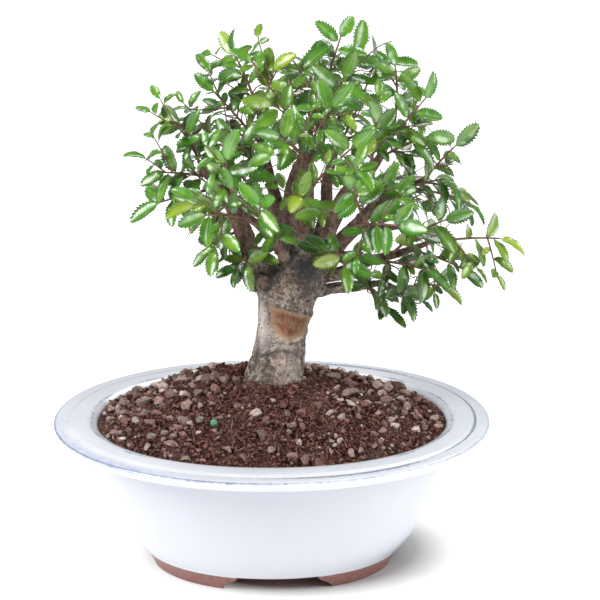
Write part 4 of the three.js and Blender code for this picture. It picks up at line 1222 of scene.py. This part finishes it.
def blade_faces():
    """The faces of a blade's two skins and of its edge all round, alike on every blade."""
    rows, columns = len(STATIONS), len(ACROSS)
    below = rows * columns
    faces = []
    for i in range(rows - 1):
        for j in range(columns - 1):
            a = i * columns + j
            quad = (a, a + 1, a + columns + 1, a + columns)
            faces.append(quad[::-1])
            faces.append(tuple(k + below for k in quad))
        for j, flip in ((0, True), (columns - 1, False)):
            a, b = i * columns + j, (i + 1) * columns + j
            side = (a, b, b + below, a + below)
            faces.append(side if flip else side[::-1])
    for i, flip in ((0, False), (rows - 1, True)):
        for j in range(columns - 1):
            a = i * columns + j
            side = (a, a + below, a + 1 + below, a + 1)
            faces.append(side if flip else side[::-1])
    return faces


BLADE_FACES = blade_faces()


def blade(leaf, rng, thickness=0.3):
    """Points, faces and map of one fine blade that follows the solid leaf's place and lean."""
    base, ahead, up = leaf["base"], leaf["ahead"], leaf["up"]
    length = leaf["length"] * FINE_LEAF_SIZE * leaf["size"]
    across = np.cross(up, ahead)
    half_width = length * FINE_WIDTH_RATIO / 2
    arch, curl, wave = rng.uniform(-0.02, 0.085), rng.uniform(-0.16, 0.16), rng.uniform(0, 6.28)
    fold = LEAF_FOLD * rng.uniform(0.4, 1.3)
    points, spots = [], []
    for s, tooth in STATIONS:
        wide = blade_width(s) * half_width * (1.07 if tooth else 0.77)
        wide = max(wide, 0.26 if s < 0.2 else 0.05)
        for a in ACROSS:
            along = s + (0.03 * abs(a) if tooth and abs(a) == 1 else 0)
            reach = a * wide
            lift = abs(reach) * fold + arch * length * 4 * s * (1 - s) - 0.5 * arch * length * s * s
            lift += 0.3 * math.sin(s * 17 + wave + a) * abs(a) * (1 - s)
            points.append(base + ahead * along * length + across * reach + up * (lift + curl * s * reach))
            spots.append((0.5 + 0.5 * a, s))
    points = np.array(points)
    half = np.array([0.5 * thickness * up] * len(points))
    return np.vstack([points + half, points - half]), BLADE_FACES, spots * 2


# Places on a blade that are tried for crossings: how far along and across
PROBES = ((0.2, 0), (0.5, -1), (0.5, 0), (0.5, 1), (0.8, -0.6), (0.8, 0.6), (1.0, 0))


def crossing(leaf, others):
    """True if a new blade would cut one that is there, by the blades' flat ovals."""
    if not others:
        return False
    base, ahead, up, length = leaf["base"], leaf["ahead"], leaf["up"], leaf["length"]
    across = np.cross(up, ahead)
    half = length * LEAF_WIDTH_RATIO / 2
    probes = np.array([base + ahead * length * s + across * half * r * 0.9 for s, r in PROBES])
    centres = np.array([o["base"] + o["ahead"] * o["length"] * 0.5 for o in others])
    near = np.linalg.norm(centres - probes[2], axis=1) < 21
    for o, close in zip(others, near):
        if not close:
            continue
        local = probes - (o["base"] + o["ahead"] * o["length"] * 0.5)
        x = local @ o["ahead"] / (o["length"] * 0.55)
        y = local @ np.cross(o["up"], o["ahead"]) / (o["length"] * LEAF_WIDTH_RATIO * 0.58)
        z = local @ o["up"]
        inside = x ** 2 + y ** 2 < 1
        if (inside & (np.abs(z) < 1.3)).any():
            return True
        if inside.any() and z[inside].min() < 0 < z[inside].max():
            return True
    return False


def make_sprays(twig_look, leaf_look):
    jobs, everything = [], []
    for limb in LIMBS:
        for order in range(len(limb[4])):
            twig, leaves = find_spray(len(jobs), limb, order)
            jobs.append((f"{limb[0]}_{order + 1}", twig, leaves))
            everything += leaves
    for index, (name, twig, leaves) in enumerate(jobs):
        shoots = side_shoots(index, name, twig, everything)
        for _, more in shoots:
            everything += more
        build_spray(index, "spray_" + name, twig, leaves, shoots, twig_look, leaf_look)


def in_crown(tip):
    """True where the crown has room for a tip: it narrows to the left lower down and to the upper right."""
    x, y, z = tip
    left = -30 if z < 202 else -54 if z < 225 else -66
    right = 104 if z < 212 else 72
    return left < x < right and abs(y) < 72 and z < 272


# Shoots given one by one where the crown's edge has a leaf of its own: spray, place on its twig, tip
EDGE_SHOOTS = [
    ("left_5", 0.97, (-62, -17, 222)),
    ("left_5", 0.8, (-58, -10, 231)),
    ("left_6", 0.55, (-55, -6, 250)),
    ("left_6", 0.85, (-60, -5, 243)),
    ("upright_2", 0.8, (-44, 3, 246)),
    ("upright_3", 0.85, (-31, 8, 261)),
    ("upright_4", 0.6, (-18, 4, 272)),
    ("upright_5", 0.8, (-6, 4, 279)),
    ("upright_5", 0.6, (-12, -2, 274)),
    ("leader_1", 0.7, (-9, -20, 271)),
    ("back_leader_1", 0.9, (62, 26, 262)),
    ("right_low_4", 0.8, (115, -14, 160)),
]


def arched(start, tip, up, reach):
    """A path from start to tip that arches up a little on its way."""
    return [start, mix(start, tip, 0.5) + up * 0.1 * reach, tip]


def off_twig(frame_at, lean, lift):
    """The way of a shoot that leaves a twig at this lean to its left, and this much upwards."""
    _, way, up, left = frame_at
    return unit(way * math.cos(lean) + left * math.sin(lean) + up * lift)


def side_shoots(index, name, twig, everything):
    """Short side shoots that fill in between the solids' leaves, clear of the blades that are there."""
    draw = seeded_numbers(SHOOT_SEED + index)
    length = float(np.linalg.norm(twig[2] - twig[0]))
    end_x, _, end_z = twig[2]
    count = SHOOTS + (1 if end_x < 5 and end_z > 215 else 0) - (1 if end_x > 58 else 0)
    paths = []
    for k in range(count):
        frame_at = twig_frame(twig, mix(0.12, 0.8, (k + draw()) / count))
        lean = mix(0.5, 1.15, draw()) * (1 if k % 2 else -1)
        way = off_twig(frame_at, lean, mix(-0.7, 0.55, draw()))
        reach = mix(12, 23, draw()) * min(1.0, length / 34)
        tip = frame_at[0] + way * reach
        if in_crown(tip):
            paths.append(arched(frame_at[0], tip, frame_at[2], reach))
    for spray, at, tip in EDGE_SHOOTS:
        if spray == name:
            point, _, up, _ = twig_frame(twig, at)
            tip = np.array(tip, float)
            paths.append(arched(point, tip, up, np.linalg.norm(tip - point)))
    shoots = []
    for path in paths:
        leaves = []
        for i in range(SHOOT_LEAVES):
            side = 0 if i == SHOOT_LEAVES - 1 else 2 * (i % 2) - 1
            place = 1 if side == 0 else mix(0.25, 0.85, i / (SHOOT_LEAVES - 2))
            for _ in range(SHOOT_LEAF_TRIES):
                leaf = draw_leaf(draw, path, place, side, SHOOT_LOOSENESS, SHOOT_RISE)
                leaf["length"] *= mix(*SHOOT_LEAF_SIZE, draw())
                leaf["base"] = leaf_base(path, leaf)
                if not crossing(leaf, everything + leaves):
                    leaves.append(leaf)
                    break
        if leaves:
            shoots.append((path, leaves))
            everything = everything + leaves
    return shoots


def bare_twigs(index, twig):
    """Thin crooked twigs without leaves, from the inner part of a spray's twig."""
    draw = seeded_numbers(BARE_TWIG_SEED + index)
    found = []
    for _ in range(BARE_TWIGS):
        frame_at = twig_frame(twig, mix(0.02, 0.6, draw()))
        lean = mix(0.4, 1.3, draw()) * (1 if draw() > 0.5 else -1)
        way = off_twig(frame_at, lean, mix(-0.9, 0.5, draw()))
        reach = mix(9, 24, draw())
        path = [frame_at[0]]
        for step in range(1, 5):
            stray = np.array([draw() - 0.5, draw() - 0.5, draw() - 0.5]) * 0.24 * reach
            path.append(path[0] + way * reach * step / 4 + stray)
        end_x, end_y, end_z = path[-1]
        if end_z < 268 and abs(end_y) < 74 and -52 < end_x < 108:
            found.append(path)
    return found


def build_spray(index, name, twig, leaves, shoots, twig_look, leaf_look):
    rng = np.random.default_rng(BLADE_SEED + index)
    young = 0.3 if name in YOUNG_SPRAYS else 0.0
    parts, masks, spots, looks = [], [], [], []

    def add_wood(path, radii, sides, steps, point, youth):
        points, faces = tapered(path, radii, sides, steps, point)
        parts.append((points, faces))
        masks.extend([(youth, 0.5, 0)] * len(points))
        spots.extend([(0.5, 0.5)] * len(points))
        looks.extend([0] * len(faces))

    add_wood(twig, (0.85, 0.42), 6, 10, twig_point, young * 0.7)
    for path, _ in shoots:
        add_wood(path, (0.5, 0.3), 6, 10, twig_point, young * 0.7)
    for path in bare_twigs(index, twig):
        add_wood(path, (0.42, 0.2), 5, 9, curve_point, 0.0)
    for group in [leaves] + [more for _, more in shoots]:
        for leaf in group:
            leaf["size"] = rng.uniform(0.86, 1.1) if group is leaves else 1.0
            points, faces, uv = blade(leaf, rng)
            # Painted shade: leaves deeper inside the crown get a darker tone, with some random spread
            out = float(np.linalg.norm((leaf["base"] - CROWN_CENTRE) / CROWN_HALF_SIZE))
            tone = np.clip(1.5 * (out - 0.45) + rng.uniform(-0.3, 0.3), 0, 1)
            fresh = np.clip(young + rng.uniform(-0.15, 0.15) + (0.5 if rng.uniform() < 0.03 else 0), 0, 1)
            if leaf["side"] == 0 and young and group is leaves:
                fresh = 0.85
            parts.append((points, faces))
            for under in (0.0, 1.0):
                masks.extend([(fresh, tone, under)] * (len(points) // 2))
            spots.extend(uv)
            looks.extend([1] * len(faces))
    spray = piece(name + "_leaves", *joined(parts), None)
    spray.data.materials.append(twig_look)
    spray.data.materials.append(leaf_look)
    spray.data.polygons.foreach_set("material_index", looks)
    paint(spray, "leaf_tint_and_shade", masks)
    layer = spray.data.uv_layers.new(name="blade")
    corners = np.empty(len(spray.data.loops), np.int32)
    spray.data.loops.foreach_get("vertex_index", corners)
    layer.data.foreach_set("uv", np.array(spots, np.float32)[corners].ravel())
    finish_piece(spray, "young_leaf" if name in YOUNG_SPRAYS else "leaf", name)


# Studio

def place_object(name, data, place, way):
    """Puts a lamp or a camera in the scene, looking this way."""
    obj = bpy.data.objects.new(name, data)
    obj.location = place
    obj.rotation_euler = way.to_track_quat("-Z", "Y").to_euler()
    bpy.context.scene.collection.objects.link(obj)
    return obj


def make_studio():
    """Soft boxes to the left and right over a pale table, with colours shown as they are."""
    bpy.ops.mesh.primitive_plane_add(size=8)
    floor = bpy.context.object
    floor.name = "floor"
    floor.data.materials.append(floor_material())
    scene = bpy.context.scene
    scene.view_settings.view_transform = "Standard"
    scene.world = bpy.data.worlds.new("sky")
    scene.world.use_nodes = True
    sky = scene.world.node_tree.nodes["Background"].inputs
    sky["Color"].default_value = (1, 1, 1, 1)
    sky["Strength"].default_value = 0.2
    for name, place, size, power in LAMPS:
        lamp = bpy.data.lights.new(name, "AREA")
        lamp.energy = power
        lamp.size = size
        place_object(name, lamp, place, Vector(LAMP_AIM) - Vector(place))


def make_camera():
    """The photograph's camera, fitted to the pot."""
    camera = bpy.data.cameras.new("camera")
    camera.sensor_width = 36
    camera.lens = CAMERA_FOCAL_PX / PHOTO_PX * camera.sensor_width
    pitch, yaw = CAMERA_PITCH, CAMERA_YAW
    way = Vector((math.sin(yaw) * math.cos(pitch), math.cos(yaw) * math.cos(pitch), -math.sin(pitch)))
    place = (np.array(CAMERA_PLACE) + SHIFT) * MM
    bpy.context.scene.camera = place_object("camera", camera, place, way)


make_camera()
make_studio()
make_pot(glaze_material())
make_soil(peat_material())
gravel = grain_material()
scatter("soil_gravel", gravel, count=390, seed=11, sizes=(1.2, 4.3), tint=pale_grain,
        detail=3, sink=0.3, is_gravel=True)
scatter("soil_crumbs", gravel, count=1500, seed=12, sizes=(0.6, 2.1), tint=dark_grain,
        detail=2, sink=0.25, is_gravel=False)
make_fibres(gravel)
make_pellet(pellet_material())
make_wood(bark_material())
make_sprays(twig_material(), leaf_material())

plastic = plastic_material()
for side in ("left", "right"):
    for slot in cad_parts["drain_mesh_" + side].material_slots:
        slot.material = plastic
